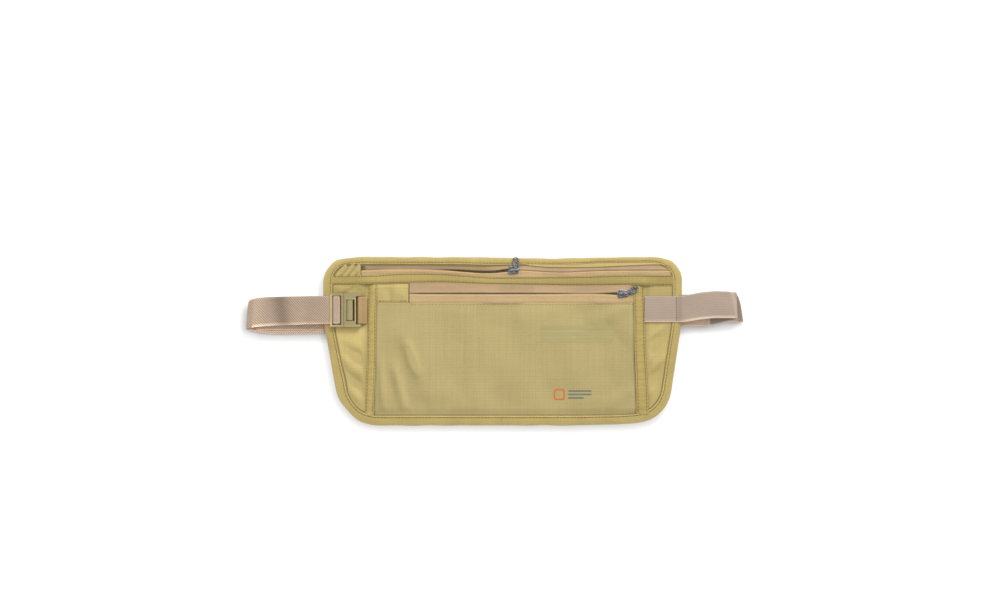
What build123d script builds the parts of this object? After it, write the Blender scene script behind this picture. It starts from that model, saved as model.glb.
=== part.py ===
"""Flat two-pocket money belt: a bound fabric pouch with two inverted-coil zips, a folded waist belt
with an elastic length, and a flat centre-release buckle.

Frame: X to the viewer's right, Z up the wearer, -Y towards the front. Lengths are millimetres.
The origin is on the rearmost belt layer's back face, on the belt's centre line.
Layers are laid out by depth D, counted forward, and names ending in _D are depths.
save() moves everything forward by REST_DEPTH, so that the rear face lands on Y = 0.
"""

import math
import os
from dataclasses import dataclass

from build123d import *

os.makedirs("parts", exist_ok=True)

# ---------------------------------------------------------------- driving dimensions
# pouch outline, one corner per row: (x, z, corner radius)
OUTLINE = [
    (-140.5, 40.9, 19.5),
    (141.3, 40.9, 18.0),
    (141.3, -7.5, 118.0),
    (129.2, -89.8, 31.5),
    (-125.6, -89.8, 31.5),
    (-140.3, -7.5, 118.0),
]
# inner edge of the binding tape on the front and back faces: (x, z, corner radius)
BINDING_INNER = [
    (-133.6, 36.1, 13.5),
    (134.5, 36.1, 12.5),
    (134.5, -7.5, 112.0),
    (122.9, -82.6, 24.5),
    (-119.2, -82.6, 24.5),
    (-133.4, -7.5, 112.0),
]
RIM_INSET = 0.6  # panels stop this far inside the outline, under the binding
SEAM_INSET = 0.1  # bands stop this far inside the binding's inner edge
BINDING_WALL = 0.5
WIDE_X = (-160, 160)  # reaches past the pouch on both sides

# pouch layers
BACK_D = (3.0, 3.6)
MAIN_D = (8.0, 8.5)
LINER_REAR_D = (8.55, 8.7)
LINER_FRONT_D = (10.6, 10.8)
POCKET_D = (10.9, 11.4)
BAND_D = (8.6, 11.9)
FLOOR_HEM_D = (BAND_D[0], 10.5)
DIVIDER_D = (BAND_D[0], POCKET_D[1])
DIVIDER_END_D = 9.2  # front of the divider outside the side bands
BINDING_BACK_D = (2.55, 2.95)
BINDING_FRONT_D = (8.55, 8.95)

# panels round the zips
TOP_ZIP_X = (-110.4, 133.4)
FRONT_ZIP_X = (-72.6, 104.5)
GARAGE_GAP = 0.4  # between a garage and its zip's left end
SEAM_GAP = 0.1
MAIN_TOP_Z = 26.0
TOP_TAPE_BOTTOM_Z = 26.2
BAND_TOP_Z = 27.6
BAND_BOTTOM_Z = 19.7
POCKET_TOP_Z = 6.7
FRONT_TAPE_Z = (POCKET_TOP_Z + SEAM_GAP, BAND_BOTTOM_Z - SEAM_GAP)
LEFT_BAND_X = (-106.7, -98.9)
RIGHT_BAND_X = (104.8, 113.0)
RIGHT_BAND_RISE = 1.2  # the right band's lower edge rises this much to the right
POCKET_X = (LEFT_BAND_X[1] + 0.2, RIGHT_BAND_X[0] - 0.2)
POCKET_FLOOR_Z = (-82.3, -80.4)
LINER_X = (LEFT_BAND_X[1] + 0.4, RIGHT_BAND_X[0] - 0.4)
LINER_BOTTOM_Z = -80.0
LINER_REAR_TOP_Z = 19.4
LINER_FRONT_TOP_Z = 4.6

# belt
WEB_W = 22.0
WEB_T = 1.2
ELASTIC_W = 20.0
ELASTIC_T = 1.1
ELASTIC_Z = 1.0  # the elastic's centre line
LAYER_1_D, LAYER_2_D, LAYER_3_D = 1.8, 0.2, -1.4  # mid-depths, front layer first
FRONT_STRAP_D = 11.2
BUCKLE_TURN_D = 12.8  # webbing in front of the male half's middle bar
TAIL_D = 9.825
ELASTIC_FRONT_D = 9.7
JOIN_X = 163.5
REST_DEPTH = WEB_T / 2 - LAYER_3_D


# ---------------------------------------------------------------- helpers
def polygon(points):
    return Polygon(*points, align=None)


def rounded(corners):
    """A face in local x, z with each corner rounded to its own radius."""
    face = polygon([(x, z) for x, z, _ in corners])
    for x, z, radius in corners:
        corner = face.vertices().sort_by_distance(Vector(x, z, 0))[0]
        face = fillet([corner], radius)
    return face


def box_face(x0, x1, z0, z1):
    return polygon([(x0, z0), (x1, z0), (x1, z1), (x0, z1)])


def slab(face, d0, d1):
    """The face, drawn in x, z, as a sheet between two depths."""
    return extrude(Plane.XZ.offset(d0) * face, d1 - d0, dir=(0, -1, 0))


def rect(x0, x1, z0, z1, d0, d1):
    return slab(box_face(x0, x1, z0, z1), d0, d1)


def centred(x0, x1, half_height, d0, d1):
    """A box that is symmetric about the belt's centre line, Z = 0."""
    return rect(x0, x1, -half_height, half_height, d0, d1)


def ring(outer, hole, d0, d1):
    margin = 0.55  # the cutter runs past both faces
    return slab(outer, d0, d1) - slab(hole, d0 - margin, d1 + margin)


def mirrored(points):
    """The points, then their mirror images below the x axis in reverse order."""
    return points + [(x, -z) for x, z in reversed(points)]


def group(parts):
    return Compound(children=[part.solids()[0] for part in parts])


def save(shape, name):
    solids = [Pos(0, -REST_DEPTH, 0) * solid for solid in shape.solids()]
    out = solids[0] if len(solids) == 1 else Compound(children=solids)
    out.label = name
    export_step(out, f"parts/{name}.step")


outline = rounded(OUTLINE)
rim = offset(outline, -RIM_INSET, kind=Kind.INTERSECTION)
wall_inner = offset(outline, -BINDING_WALL, kind=Kind.INTERSECTION)
binding_inner = rounded(BINDING_INNER)
seam_line = offset(binding_inner, -SEAM_INSET, kind=Kind.INTERSECTION)

# ---------------------------------------------------------------- pouch panels
save(slab(rim, *BACK_D), "back_panel")
save(slab(rim & box_face(*WIDE_X, -100, MAIN_TOP_Z), *MAIN_D), "main_front_panel")

top_garage = box_face(WIDE_X[0], TOP_ZIP_X[0] - GARAGE_GAP, TOP_TAPE_BOTTOM_Z, 60)
save(slab(rim & top_garage, *MAIN_D), "top_zip_garage")

save(rect(*LINER_X, LINER_BOTTOM_Z, LINER_REAR_TOP_Z, *LINER_REAR_D), "rfid_liner_rear")
save(rect(*LINER_X, LINER_BOTTOM_Z, LINER_FRONT_TOP_Z, *LINER_FRONT_D), "rfid_liner_front")
save(
    rect(*POCKET_X, POCKET_FLOOR_Z[0], POCKET_TOP_Z - SEAM_GAP, *POCKET_D),
    "front_pocket_panel",
)
save(
    rect(POCKET_X[0], FRONT_ZIP_X[0] - GARAGE_GAP, *FRONT_TAPE_Z, *POCKET_D),
    "front_zip_garage",
)


# ---------------------------------------------------------------- bands round the front pocket
def side_band(x0, x1, rise):
    """An upright band; its lower edge is higher by rise at x1."""
    top, bottom = BAND_BOTTOM_Z - SEAM_GAP, POCKET_FLOOR_Z[0]
    face = polygon([(x0, top), (x1, top), (x1, bottom + rise), (x0, bottom)])
    return slab(seam_line & face, *BAND_D)


save(side_band(*LEFT_BAND_X, 0), "pocket_band_left")
save(side_band(*RIGHT_BAND_X, RIGHT_BAND_RISE), "pocket_band_right")
save(
    slab(seam_line & box_face(*POCKET_X, *POCKET_FLOOR_Z), *FLOOR_HEM_D),
    "pocket_floor_hem",
)

# the divider runs across the pouch and is thinner outside the side bands
divider = slab(seam_line & box_face(*WIDE_X, BAND_BOTTOM_Z, BAND_TOP_Z), *DIVIDER_D)
for x0, x1 in ((WIDE_X[0], LEFT_BAND_X[0]), (RIGHT_BAND_X[1], WIDE_X[1])):
    divider = divider - rect(x0, x1, 10, 40, DIVIDER_END_D, 12)
save(divider, "divider_band")

# ---------------------------------------------------------------- edge binding
# a tape folded round the whole rim: front face, back face and outer wall
binding = (
    ring(outline, binding_inner, *BINDING_FRONT_D)
    + ring(outline, binding_inner, *BINDING_BACK_D)
    + ring(outline, wall_inner, BINDING_BACK_D[0], BINDING_FRONT_D[1])
)
save(binding, "edge_binding")

# ---------------------------------------------------------------- zips
COIL_START = 2.4  # from the zip's left end
COIL_PITCH = 1.5
COIL_HALF = 1.7  # half width of the closed chain
TOOTH_HALF = COIL_PITCH * 0.22
TOOTH_ROOT = 0.55  # the teeth start this far from the lip's line
TOOTH_TIP = -0.35  # and reach this far across it
TAPE_EDGE = 0.06  # from the lip's line to the tape's near edge
TAPE_T = 0.5
STOP_HALF = 2.6
LIP_NEAR = 0.9  # how far each lip stands from the zip's line just behind the slider
LIP_FAR = 0.3  # and along the rest of the open length
LIP_START = 1.0  # right of the slider's middle, where the lips begin to part
LIP_SPREAD = 4.4  # length over which they part
LIP_EASE_START = -5.0  # from here leftwards they ease to LIP_FAR
LIP_EASE = 11.0
LIP_END = 9.0  # length over which they meet again at the zip's left end


@dataclass
class Zip:
    name: str
    line_z: float
    left: float
    right: float
    tape_right: float
    end_gap: float  # from the coil's right end to the zip's
    tape_bottom: float
    tape_top: float
    slider_x: float
    depth: float  # the tape's rear face
    tab_yaw: float  # the tab's direction in the pouch face, from +X towards +Z
    clip: Sketch = None  # face that bounds the tape


TOP_ZIP = Zip(
    name="top",
    line_z=31.3,
    left=TOP_ZIP_X[0],
    right=TOP_ZIP_X[1],
    tape_right=142,
    end_gap=4.0,
    tape_bottom=TOP_TAPE_BOTTOM_Z,
    tape_top=42.0,
    slider_x=8.8,
    depth=MAIN_D[0],
    tab_yaw=98.0,
    clip=rim,
)
FRONT_ZIP = Zip(
    name="front",
    line_z=13.0,
    left=FRONT_ZIP_X[0],
    right=FRONT_ZIP_X[1],
    tape_right=FRONT_ZIP_X[1],
    end_gap=2.4,
    tape_bottom=FRONT_TAPE_Z[0],
    tape_top=FRONT_TAPE_Z[1],
    slider_x=94.6,
    depth=POCKET_D[0],
    tab_yaw=28.0,
)


def lip(zipper, x):
    """How far a lip stands from the zip's line: 0 right of the slider, open left of it."""
    ahead = x - zipper.slider_x
    if ahead >= LIP_START:
        return 0.0
    if ahead < LIP_EASE_START:
        eased = (LIP_NEAR - LIP_FAR) * (LIP_EASE_START - ahead) / LIP_EASE
        gap = max(LIP_FAR, LIP_NEAR - eased)
    else:
        gap = min(1.0, (LIP_START - ahead) / LIP_SPREAD) * LIP_NEAR
    return gap * min(1.0, (x - zipper.left) / LIP_END)


def lip_line(zipper, side, distance, x_values):
    """Points that stand off one lip by a distance. side is 1 for the upper half, -1 for the lower."""
    return [(x, zipper.line_z + side * (distance + lip(zipper, x))) for x in x_values]


def samples(zipper, x0, x1):
    """The ends and the places between them where the lip's line changes direction."""
    steps = (LIP_START, -1.2, -3.4, LIP_EASE_START, LIP_EASE_START - LIP_EASE)
    return sorted([x0, x1, zipper.left + LIP_END, *(zipper.slider_x + step for step in steps)])


def coil(zipper, side):
    """One half of the chain: a sewn-down cord with the coil's turns as teeth."""
    x0, x1 = zipper.left + COIL_START, zipper.right - zipper.end_gap
    phase = 0.0 if side > 0 else COIL_PITCH / 2
    loop = lip_line(zipper, side, TOOTH_ROOT, [x0])
    for k in range(int((x1 - x0) / COIL_PITCH)):
        middle = x0 + phase + (k + 0.35) * COIL_PITCH
        if middle + TOOTH_HALF > x1 - 0.1:
            continue
        tip_x = [middle - TOOTH_HALF * 0.7, middle + TOOTH_HALF * 0.7]
        loop += lip_line(zipper, side, TOOTH_ROOT, [middle - TOOTH_HALF])
        loop += lip_line(zipper, side, TOOTH_TIP, tip_x)
        loop += lip_line(zipper, side, TOOTH_ROOT, [middle + TOOTH_HALF])
    loop += lip_line(zipper, side, TOOTH_ROOT, [x1])
    loop += reversed(lip_line(zipper, side, COIL_HALF, samples(zipper, x0, x1)))
    return slab(polygon(loop), zipper.depth - 1.3, zipper.depth - 0.1)


def tape(zipper, side):
    """One half of the zip tape, from its lip to the far edge where it is sewn down."""
    x0, x1 = zipper.left, zipper.tape_right
    far = zipper.tape_top if side > 0 else zipper.tape_bottom
    near = lip_line(zipper, side, TAPE_EDGE, samples(zipper, x0, x1))
    face = polygon([*near, (x1, far), (x0, far)])
    if zipper.clip is not None:
        face = face & zipper.clip
    return slab(face, zipper.depth, zipper.depth + TAPE_T)


def stops(zipper):
    """The two end stops, one at each end of the chain, behind the tape."""
    coil_end = zipper.right - zipper.end_gap
    z0, z1 = zipper.line_z - STOP_HALF, zipper.line_z + STOP_HALF
    parts = []
    for x0, x1 in (
        (zipper.left + 0.2, zipper.left + 2.2),
        (coil_end + 0.2, coil_end + 2.0),
    ):
        stop = rect(x0, x1, z0, z1, zipper.depth - 1.4, zipper.depth - 0.1)
        parts.append(fillet(stop.edges().filter_by(Axis.Y), 0.4))
    return group(parts)


# ---------------------------------------------------------------- sliders
# points are (x, z) from the slider's middle
SLIDER_PLATE = [(4.2, 1.9), (3.2, 2.6), (0.4, 2.8), (-2.2, 3.3), (-3.5, 3.0), (-4.2, 2.0)]
SLIDER_FLANGE = [
    (3.2, 2.6), (0.4, 2.8), (-2.2, 3.3),  # outer side
    (-2.2, 2.85), (0.4, 2.3), (3.2, 2.1),  # inner side
]
SLIDER_POST = [(-1.9, 0.12), (-2.9, 0.38), (-3.9, 0.3)]
SLIDER_FRONT = 1.45  # the front plate's face, forward of the tape's rear face
LEG_X = (-1.6, 2.9)  # the crown's two legs, from the slider's middle
LEG_R = 0.55
CROWN_CLEAR = 1.1  # height under the crown's bridge
CROWN_W = 1.7
CROWN_T = 0.7
TAB_L = 10.4  # eye centre to tip
TAB_W = 5.0
TAB_T = 0.85
TAB_LIFT = 0.1  # the tab's clearance over the slider plate
TAB_HOLE_R = 1.2
EYE_R = 1.75
EYE_CLEARANCE = 0.08


def slider_body(zipper):
    """Inverted-coil slider: a front plate over the tape, a rear plate with side flanges round
    the coil, and the wedge post that parts the lips. The wide end faces -X, where the zip is open."""
    depth = zipper.depth

    def placed(points):
        return polygon([(zipper.slider_x + x, zipper.line_z + z) for x, z in points])

    plate = placed(mirrored(SLIDER_PLATE))
    front = slab(plate, depth + 0.65, depth + SLIDER_FRONT)
    front = fillet(front.faces().sort_by(Axis.Y)[0].edges(), 0.3)
    rear = slab(plate, depth - 2.05, depth - 1.5)
    upper, lower = [
        slab(placed([(x, side * z) for x, z in SLIDER_FLANGE]), depth - 1.6, depth - 0.12)
        for side in (1, -1)
    ]
    post = slab(placed(mirrored(SLIDER_POST)), depth - 1.6, depth + 0.7)
    return front + rear + (upper + lower) + post


def on_slider(zipper, x):
    """Turns local x, y, z to +X, +Z, -Y on the slider's front face, x from its middle."""
    place = Pos(zipper.slider_x + x, -(zipper.depth + SLIDER_FRONT), zipper.line_z)
    return place * Rot(90, 0, 0)


def crown(zipper):
    """The bridge over the slider: a rounded bar along the zip on two round legs."""
    x0, x1 = LEG_X
    slot = SlotOverall(x1 - x0 + CROWN_W, CROWN_W)
    body = extrude(Pos((x0 + x1) / 2, 0, CROWN_CLEAR) * slot, CROWN_T, dir=(0, 0, 1))
    body = fillet(body.faces().sort_by(Axis.Z)[-1].edges(), 0.3)
    for x in LEG_X:
        body = body + Pos(x, 0, CROWN_CLEAR / 2 + 0.05) * Cylinder(LEG_R, CROWN_CLEAR + 0.1)
    return on_slider(zipper, 0) * body


def pull(zipper):
    """The pull tab: an eye round the crown's right leg, and a paddle with a hole near its tip."""
    far = TAB_L - TAB_W / 2
    mid_height = TAB_LIFT + TAB_T / 2
    blade = polygon(mirrored([(0.6, 1.5), (3.0, 1.9), (5.4, 2.3), (far, TAB_W / 2)]))
    body = extrude(Plane.XY.offset(TAB_LIFT) * blade, TAB_T, dir=(0, 0, 1))
    body = body + Pos(0, 0, mid_height) * Cylinder(EYE_R, TAB_T)
    body = body + Pos(far, 0, mid_height) * Cylinder(TAB_W / 2, TAB_T)
    body = body - Cylinder(LEG_R + EYE_CLEARANCE, 6)
    body = body - Pos(far, 0, 0) * Cylinder(TAB_HOLE_R, 6)
    return on_slider(zipper, LEG_X[1]) * (Rot(0, 0, zipper.tab_yaw) * body)


for zipper in (TOP_ZIP, FRONT_ZIP):
    for side, half in ((1, "upper"), (-1, "lower")):
        save(tape(zipper, side), f"{zipper.name}_zip_tape_{half}")
        save(coil(zipper, side), f"{zipper.name}_zip_coil_{half}")
    save(stops(zipper), f"{zipper.name}_zip_stops")
    save(slider_body(zipper), f"{zipper.name}_slider_body")
    save(crown(zipper), f"{zipper.name}_slider_crown")
    save(pull(zipper), f"{zipper.name}_pull_tab")

# ---------------------------------------------------------------- belt
END_BAR_X, END_BAR_D = -111.5, 11.4  # the buckle's round end bar


def strip(path, thickness, z0, z1):
    """A woven strip that follows a path of (x, depth) points, extruded across its width."""
    headings = []
    for (ax, ad), (bx, bd) in zip(path, path[1:]):
        length = math.hypot(bx - ax, bd - ad)
        headings.append(((bx - ax) / length, (bd - ad) / length))
    left, right = [], []
    for i, (x, d) in enumerate(path):
        before_x, before_d = headings[max(i - 1, 0)]
        after_x, after_d = headings[min(i, len(headings) - 1)]
        along_x, along_d = before_x + after_x, before_d + after_d
        length = math.hypot(along_x, along_d)
        along_x, along_d = along_x / length, along_d / length
        # mitred corners keep the thickness, up to twice the half thickness at the corner
        half = thickness / 2 / max(0.5, along_x * before_x + along_d * before_d)
        left.append((x - along_d * half, d + along_x * half))
        right.append((x + along_d * half, d - along_x * half))
    # the local plane here is x, y: depth runs along -Y
    face = polygon([(x, -d) for x, d in left + right[::-1]])
    return Pos(0, 0, z0) * extrude(face, z1 - z0, dir=(0, 0, 1))


def arc(x, d, radius, start, end, steps):
    """Points (x, depth) on an arc; angles in degrees from +X towards the front."""
    angles = [math.radians(start + (end - start) * i / steps) for i in range(steps + 1)]
    return [(x + radius * math.cos(a), d + radius * math.sin(a)) for a in angles]


def half_turn(x, d0, d1, start, end, steps):
    """A half circle that takes the strip from depth d0 to d1."""
    return arc(x, (d0 + d1) / 2, abs(d1 - d0) / 2, start, end, steps)


webbing_path = [
    (JOIN_X, LAYER_1_D),
    *half_turn(-187.8, LAYER_1_D, LAYER_2_D, 90, 270, 8),
    *half_turn(188.6, LAYER_2_D, LAYER_3_D, 90, -90, 8),
    *half_turn(-193.7, LAYER_3_D, FRONT_STRAP_D, 270, 90, 14),
    (-133.9, FRONT_STRAP_D),
    (-130.3, BUCKLE_TURN_D),
    *half_turn(-128.9, BUCKLE_TURN_D, TAIL_D, 90, -90, 10),
    (-176.0, TAIL_D),
]
save(strip(webbing_path, WEB_T, -WEB_W / 2, WEB_W / 2), "belt_webbing")

elastic_path = [
    (113.4, ELASTIC_FRONT_D),
    *half_turn(180.8, ELASTIC_FRONT_D, LAYER_1_D, 90, -90, 12),
    (JOIN_X + 0.4, LAYER_1_D),
]
save(
    strip(elastic_path, ELASTIC_T, ELASTIC_Z - ELASTIC_W / 2, ELASTIC_Z + ELASTIC_W / 2),
    "belt_elastic",
)

# the flat tape that anchors the buckle, looped round its end bar and sewn at the left band
anchor_path = [
    (-106.9, 9.95),
    (-108.3, 10.6),
    (-110.6, 12.75),
    *arc(END_BAR_X, END_BAR_D, 1.5, 65, 295, 12),
    (-109.4, 9.35),
    (-108.3, 9.05),
    (-106.9, 9.05),
]
save(strip(anchor_path, 0.7, -10.5, 10.5), "buckle_anchor_loop")

# ---------------------------------------------------------------- buckle, female half
BUCKLE_HALF = 13.2  # half height
FEMALE_X = (-124.0, -110.5)
MALE_X = (-134.5, -124.15)
FEMALE_D = (9.2, 13.4)
MALE_D = (9.6, 13.2)
THROAT_END_X = -115.5
WINDOW_X = (-122.1, THROAT_END_X)
# boxes cut from the female half: (x0, x1, half height, d0, d1)
FEMALE_CUTS = [
    (FEMALE_X[0] - 1, THROAT_END_X, 11.5, 9.9, 12.3),  # throat, open to the left
    (*WINDOW_X, 8.4, 12.0, 14.0),  # button window in the front
    (*WINDOW_X, 8.6, 8.0, 10.5),  # rear relief
    (-114.4, -112.5, 11.0, 8.0, 14.0),  # tape slot
    (-112.6, -109.0, 11.0, 8.0, 14.0),  # opens the slot through the right end
]

female = centred(*FEMALE_X, BUCKLE_HALF, *FEMALE_D)
female = fillet(female.edges().filter_by(Axis.Y), 1.2)
faces_by_y = female.faces().sort_by(Axis.Y)
female = fillet(faces_by_y[0].edges() + faces_by_y[-1].edges(), 0.5)
for cut in FEMALE_CUTS:
    female = female - centred(*cut)
female = female + Pos(END_BAR_X, -END_BAR_D, 0) * Cylinder(1.0, 22.2)
save(female, "buckle_female")

# ---------------------------------------------------------------- buckle, male half
RAIL_Z = (11.4, BUCKLE_HALF)
PRONG_Z = (9.0, 11.1)
PRONG_X = (MALE_X[1] - 0.4, -117.0)
PRONG_D = (10.15, 12.05)
CROSSBAR_HALF = 12  # the crossbars run into the rails


def pair(x0, x1, z0, z1, d0, d1):
    """A box above the centre line and its mirror image below."""
    return rect(x0, x1, z0, z1, d0, d1) + rect(x0, x1, -z1, -z0, d0, d1)


rails = pair(*MALE_X, *RAIL_Z, *MALE_D)
left_bar = centred(MALE_X[0], MALE_X[0] + 1.2, CROSSBAR_HALF, 12.25, MALE_D[1])
middle_bar = centred(-130.7, -128.5, CROSSBAR_HALF, 10.7, 11.8)
middle_bar = fillet(middle_bar.edges().filter_by(Axis.Z), 0.35)
right_bar = centred(-126.0, MALE_X[1], CROSSBAR_HALF, *MALE_D)
right_bar = right_bar - centred(-125.3, -123, 8.2, 9.0, 11.6)  # recess for the tongue's root
prongs = pair(*PRONG_X, *PRONG_Z, *PRONG_D)
male = rails + left_bar + middle_bar + right_bar + prongs
# outer left corners, then the rails' long outer edges
male = fillet(
    male.edges()
    .filter_by(Axis.Y)
    .filter_by(lambda e: e.center().X < MALE_X[0] + 0.1 and abs(e.center().Z) > 12.9),
    1.2,
)
male = fillet(
    male.edges().filter_by(Axis.X).filter_by(lambda e: abs(e.center().Z) > 13.1),
    0.5,
)
save(male, "buckle_male")

# ---------------------------------------------------------------- buckle, tongue and button pad
TONGUE_X = -124.7  # the tongue bends about this line
TONGUE_HALF = 7.6
PAD_X = (-121.8, -117.0)

tongue = centred(TONGUE_X, -117.2, TONGUE_HALF, 10.3, 11.2)
tongue = tongue + Pos(TONGUE_X, -10.75, 0) * Cylinder(0.45, 2 * TONGUE_HALF)  # its root
pad = centred(*PAD_X, 7.9, 11.1, 13.1)
# a sloped cut lowers the pad's front face at its left edge
pad = pad - Pos(PAD_X[0], -13.1, 0) * Rot(0, 0, 14) * Box(2.4, 0.9, 20)
pad = fillet(pad.faces().sort_by(Axis.X)[-1].edges().filter_by(Axis.Z), 0.4)
save(tongue + pad, "buckle_tongue")

# ---------------------------------------------------------------- bar tacks
# dense stitching that holds the belt ends
tack_z = (ELASTIC_Z - 9.2, ELASTIC_Z + 9.2)
save(rect(136.3, 137.3, *tack_z, 10.3, 10.55), "elastic_bar_tack")
join_tacks = [
    centred(JOIN_X - back, JOIN_X - back + 0.8, 9.4, 0.85, 1.15) for back in (2.0, 4.4)
]
save(group(join_tacks), "belt_join_tacks")

# ---------------------------------------------------------------- flat prints on the pocket
PRINT_D = (POCKET_D[1] + 0.02, POCKET_D[1] + 0.1)
BADGE_CENTRE = (44.8, -66.0)

bars = [
    slab(polygon([(29, z), (86, z), (88, z + 3.0), (31, z + 3.0)]), *PRINT_D)
    for z in (-25.4, -20.2, -15.0)
]
save(group(bars), "print_bars")

badge = slab(
    Pos(*BADGE_CENTRE) * RectangleRounded(8.6, 8.6, 1.6)
    - Pos(*BADGE_CENTRE) * RectangleRounded(6.6, 6.6, 1.0),
    *PRINT_D,
)
save(badge, "print_badge")

dashes = [
    rect(52.0, 52.0 + length, z, z + 1.2, *PRINT_D)
    for length, z in ((18.0, -63.9), (18.0, -66.6), (12.0, -69.3))
]
save(group(dashes), "print_dashes")
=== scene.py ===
# A flat zipped waist pouch on a webbing belt, with a side-release buckle at its left.
# It lies with its rear face near y = 0 and its front towards -Y; x runs right and z runs up.
# Soft parts are laid out in millimetres as x, depth, z. Depth is measured forward, along -Y.

import math
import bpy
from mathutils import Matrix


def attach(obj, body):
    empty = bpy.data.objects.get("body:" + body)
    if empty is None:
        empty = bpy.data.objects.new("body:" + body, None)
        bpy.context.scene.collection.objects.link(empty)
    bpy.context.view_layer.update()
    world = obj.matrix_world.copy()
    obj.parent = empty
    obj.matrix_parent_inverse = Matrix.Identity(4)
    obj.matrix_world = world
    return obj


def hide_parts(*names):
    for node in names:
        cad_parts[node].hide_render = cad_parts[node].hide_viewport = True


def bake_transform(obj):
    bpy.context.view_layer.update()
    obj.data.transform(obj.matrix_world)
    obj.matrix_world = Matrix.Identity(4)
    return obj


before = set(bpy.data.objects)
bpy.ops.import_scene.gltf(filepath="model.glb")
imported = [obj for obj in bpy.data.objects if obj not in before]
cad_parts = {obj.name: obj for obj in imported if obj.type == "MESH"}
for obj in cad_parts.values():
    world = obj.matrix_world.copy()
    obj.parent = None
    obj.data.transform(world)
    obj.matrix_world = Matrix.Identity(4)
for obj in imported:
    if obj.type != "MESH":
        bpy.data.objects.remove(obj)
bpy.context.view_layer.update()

from types import SimpleNamespace

import bmesh
import bpy
import numpy as np
from mathutils import Vector

MM = 0.001
TURN = 2 * math.pi
STITCH_PITCH = 2.7

# Corners of the pouch: x, z, radius
OUTER_CORNERS = [
    (-140.5, 40.9, 19.5), (141.3, 40.9, 18.0), (141.3, -7.5, 118.0),
    (129.2, -89.8, 31.5), (-125.6, -89.8, 31.5), (-140.3, -7.5, 118.0),
]
# Corners of the binding's inner edge: x, z, radius
INNER_CORNERS = [
    (-133.6, 36.1, 13.5), (134.5, 36.1, 12.5), (134.5, -7.5, 112.0),
    (122.9, -82.6, 24.5), (-119.2, -82.6, 24.5), (-133.4, -7.5, 112.0),
]


# ---------------------------------------------------------------- shaping helpers
def smooth(start, end, value):
    """Eases from 0 at start to 1 at end; start may be the larger."""
    share = np.clip((np.asarray(value, float) - start) / (end - start), 0, 1)
    return share * share * (3 - 2 * share)


def bell(value, centre, width):
    return np.exp(-(((np.asarray(value, float) - centre) / width) ** 2))


rng = np.random.RandomState(7)
# x and z direction, phase
WAVES = [
    (rng.uniform(-1, 1), rng.uniform(-1, 1), rng.uniform(0, TURN))
    for _ in range(24)
]


def drift(x, z, size, seed, count=6):
    """Smooth random field of about -1 to 1, with features of about size mm."""
    total = 0
    for k in range(count):
        along_x, along_z, phase = WAVES[(seed * 5 + k) % len(WAVES)]
        frequency = TURN / size * (0.6 + 0.16 * k)
        travel = (along_x * x + along_z * z) / math.hypot(along_x, along_z)
        total = total + np.sin(travel * frequency + phase + seed * 1.7)
    return total / count * 1.6


def curve(x, table):
    """A smooth line through (x, value) points."""
    knots, values = (np.array(column, float) for column in zip(*table))
    slopes = np.gradient(values, knots)
    x = np.clip(np.asarray(x, float), knots[0], knots[-1])
    i = np.clip(np.searchsorted(knots, x) - 1, 0, len(knots) - 2)
    gap = knots[i + 1] - knots[i]
    share = (x - knots[i]) / gap
    rest = 1 - share
    start = (1 + 2 * share) * rest**2 * values[i] + share * rest**2 * gap * slopes[i]
    end = share**2 * (3 - 2 * share) * values[i + 1]
    return start + end + share**2 * (share - 1) * gap * slopes[i + 1]


def stations(start, end, step, edge=0.35):
    """Places from start to end, with one extra near each end to round the edge tightly."""
    count = max(2, int(round((end - start) / step)))
    return np.concatenate([[start], np.linspace(start + edge, end - edge, count), [end]])


def unit(vectors):
    return vectors / np.linalg.norm(vectors, axis=-1, keepdims=True)


def track(x, depth, z):
    """Joins coordinates, any of which may be a single number, into points."""
    return np.stack(np.broadcast_arrays(x, depth, z), -1)


def run_length(points):
    """Distance travelled at each point."""
    return np.concatenate([[0], np.cumsum(np.linalg.norm(np.diff(points, axis=0), axis=1))])


def to_segment(x, z, start_x, start_z, end_x, end_z):
    """Share along a segment of the nearest point on it, and the distance to that point."""
    run, rise = end_x - start_x, end_z - start_z
    share = ((x - start_x) * run + (z - start_z) * rise) / (run**2 + rise**2)
    share = np.clip(share, 0, 1)
    return share, np.hypot(x - (start_x + share * run), z - (start_z + share * rise))


# ---------------------------------------------------------------- pouch outline
def rounded_outline(corners, arc_steps=14, edge_steps=24):
    """Closed outline of x, z points. Outlines with the same steps match point for point."""
    places = np.array([corner[:2] for corner in corners])
    arcs = []
    for i, (x, z, radius) in enumerate(corners):
        before = unit(places[i - 1] - places[i])
        after = unit(places[(i + 1) % len(places)] - places[i])
        half_angle = math.acos(np.clip(before @ after, -1, 1)) / 2
        reach = radius / math.tan(half_angle)
        centre = places[i] + unit(before + after) * radius / math.sin(half_angle)
        start = places[i] + before * reach - centre
        end = places[i] + after * reach - centre
        first = math.atan2(start[1], start[0])
        sweep_angle = (math.atan2(end[1], end[0]) - first + math.pi) % TURN - math.pi
        angles = first + sweep_angle * np.arange(arc_steps + 1) / arc_steps
        arcs.append(centre + radius * np.stack([np.cos(angles), np.sin(angles)], -1))
    shares = np.arange(1, edge_steps)[:, None] / edge_steps
    points = []
    for arc_points, following in zip(arcs, arcs[1:] + arcs[:1]):
        end = arc_points[-1]
        points += [arc_points, end + (following[0] - end) * shares]
    return np.concatenate(points)


def wander(points):
    """Makes the binding's inner edge uneven along the top and at one place on the left."""
    x, z = points.T
    up = 1.0 * smooth(52, 84, x) * (1 - smooth(116, 128, x)) - 0.6 * bell(x, -8, 26)
    side = 0.8 * smooth(-110, -116, x) * bell(z, -56, 13)
    return np.stack([x + side, z + smooth(32.5, 35.5, z) * up], -1)


INNER = wander(rounded_outline(INNER_CORNERS))
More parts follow.
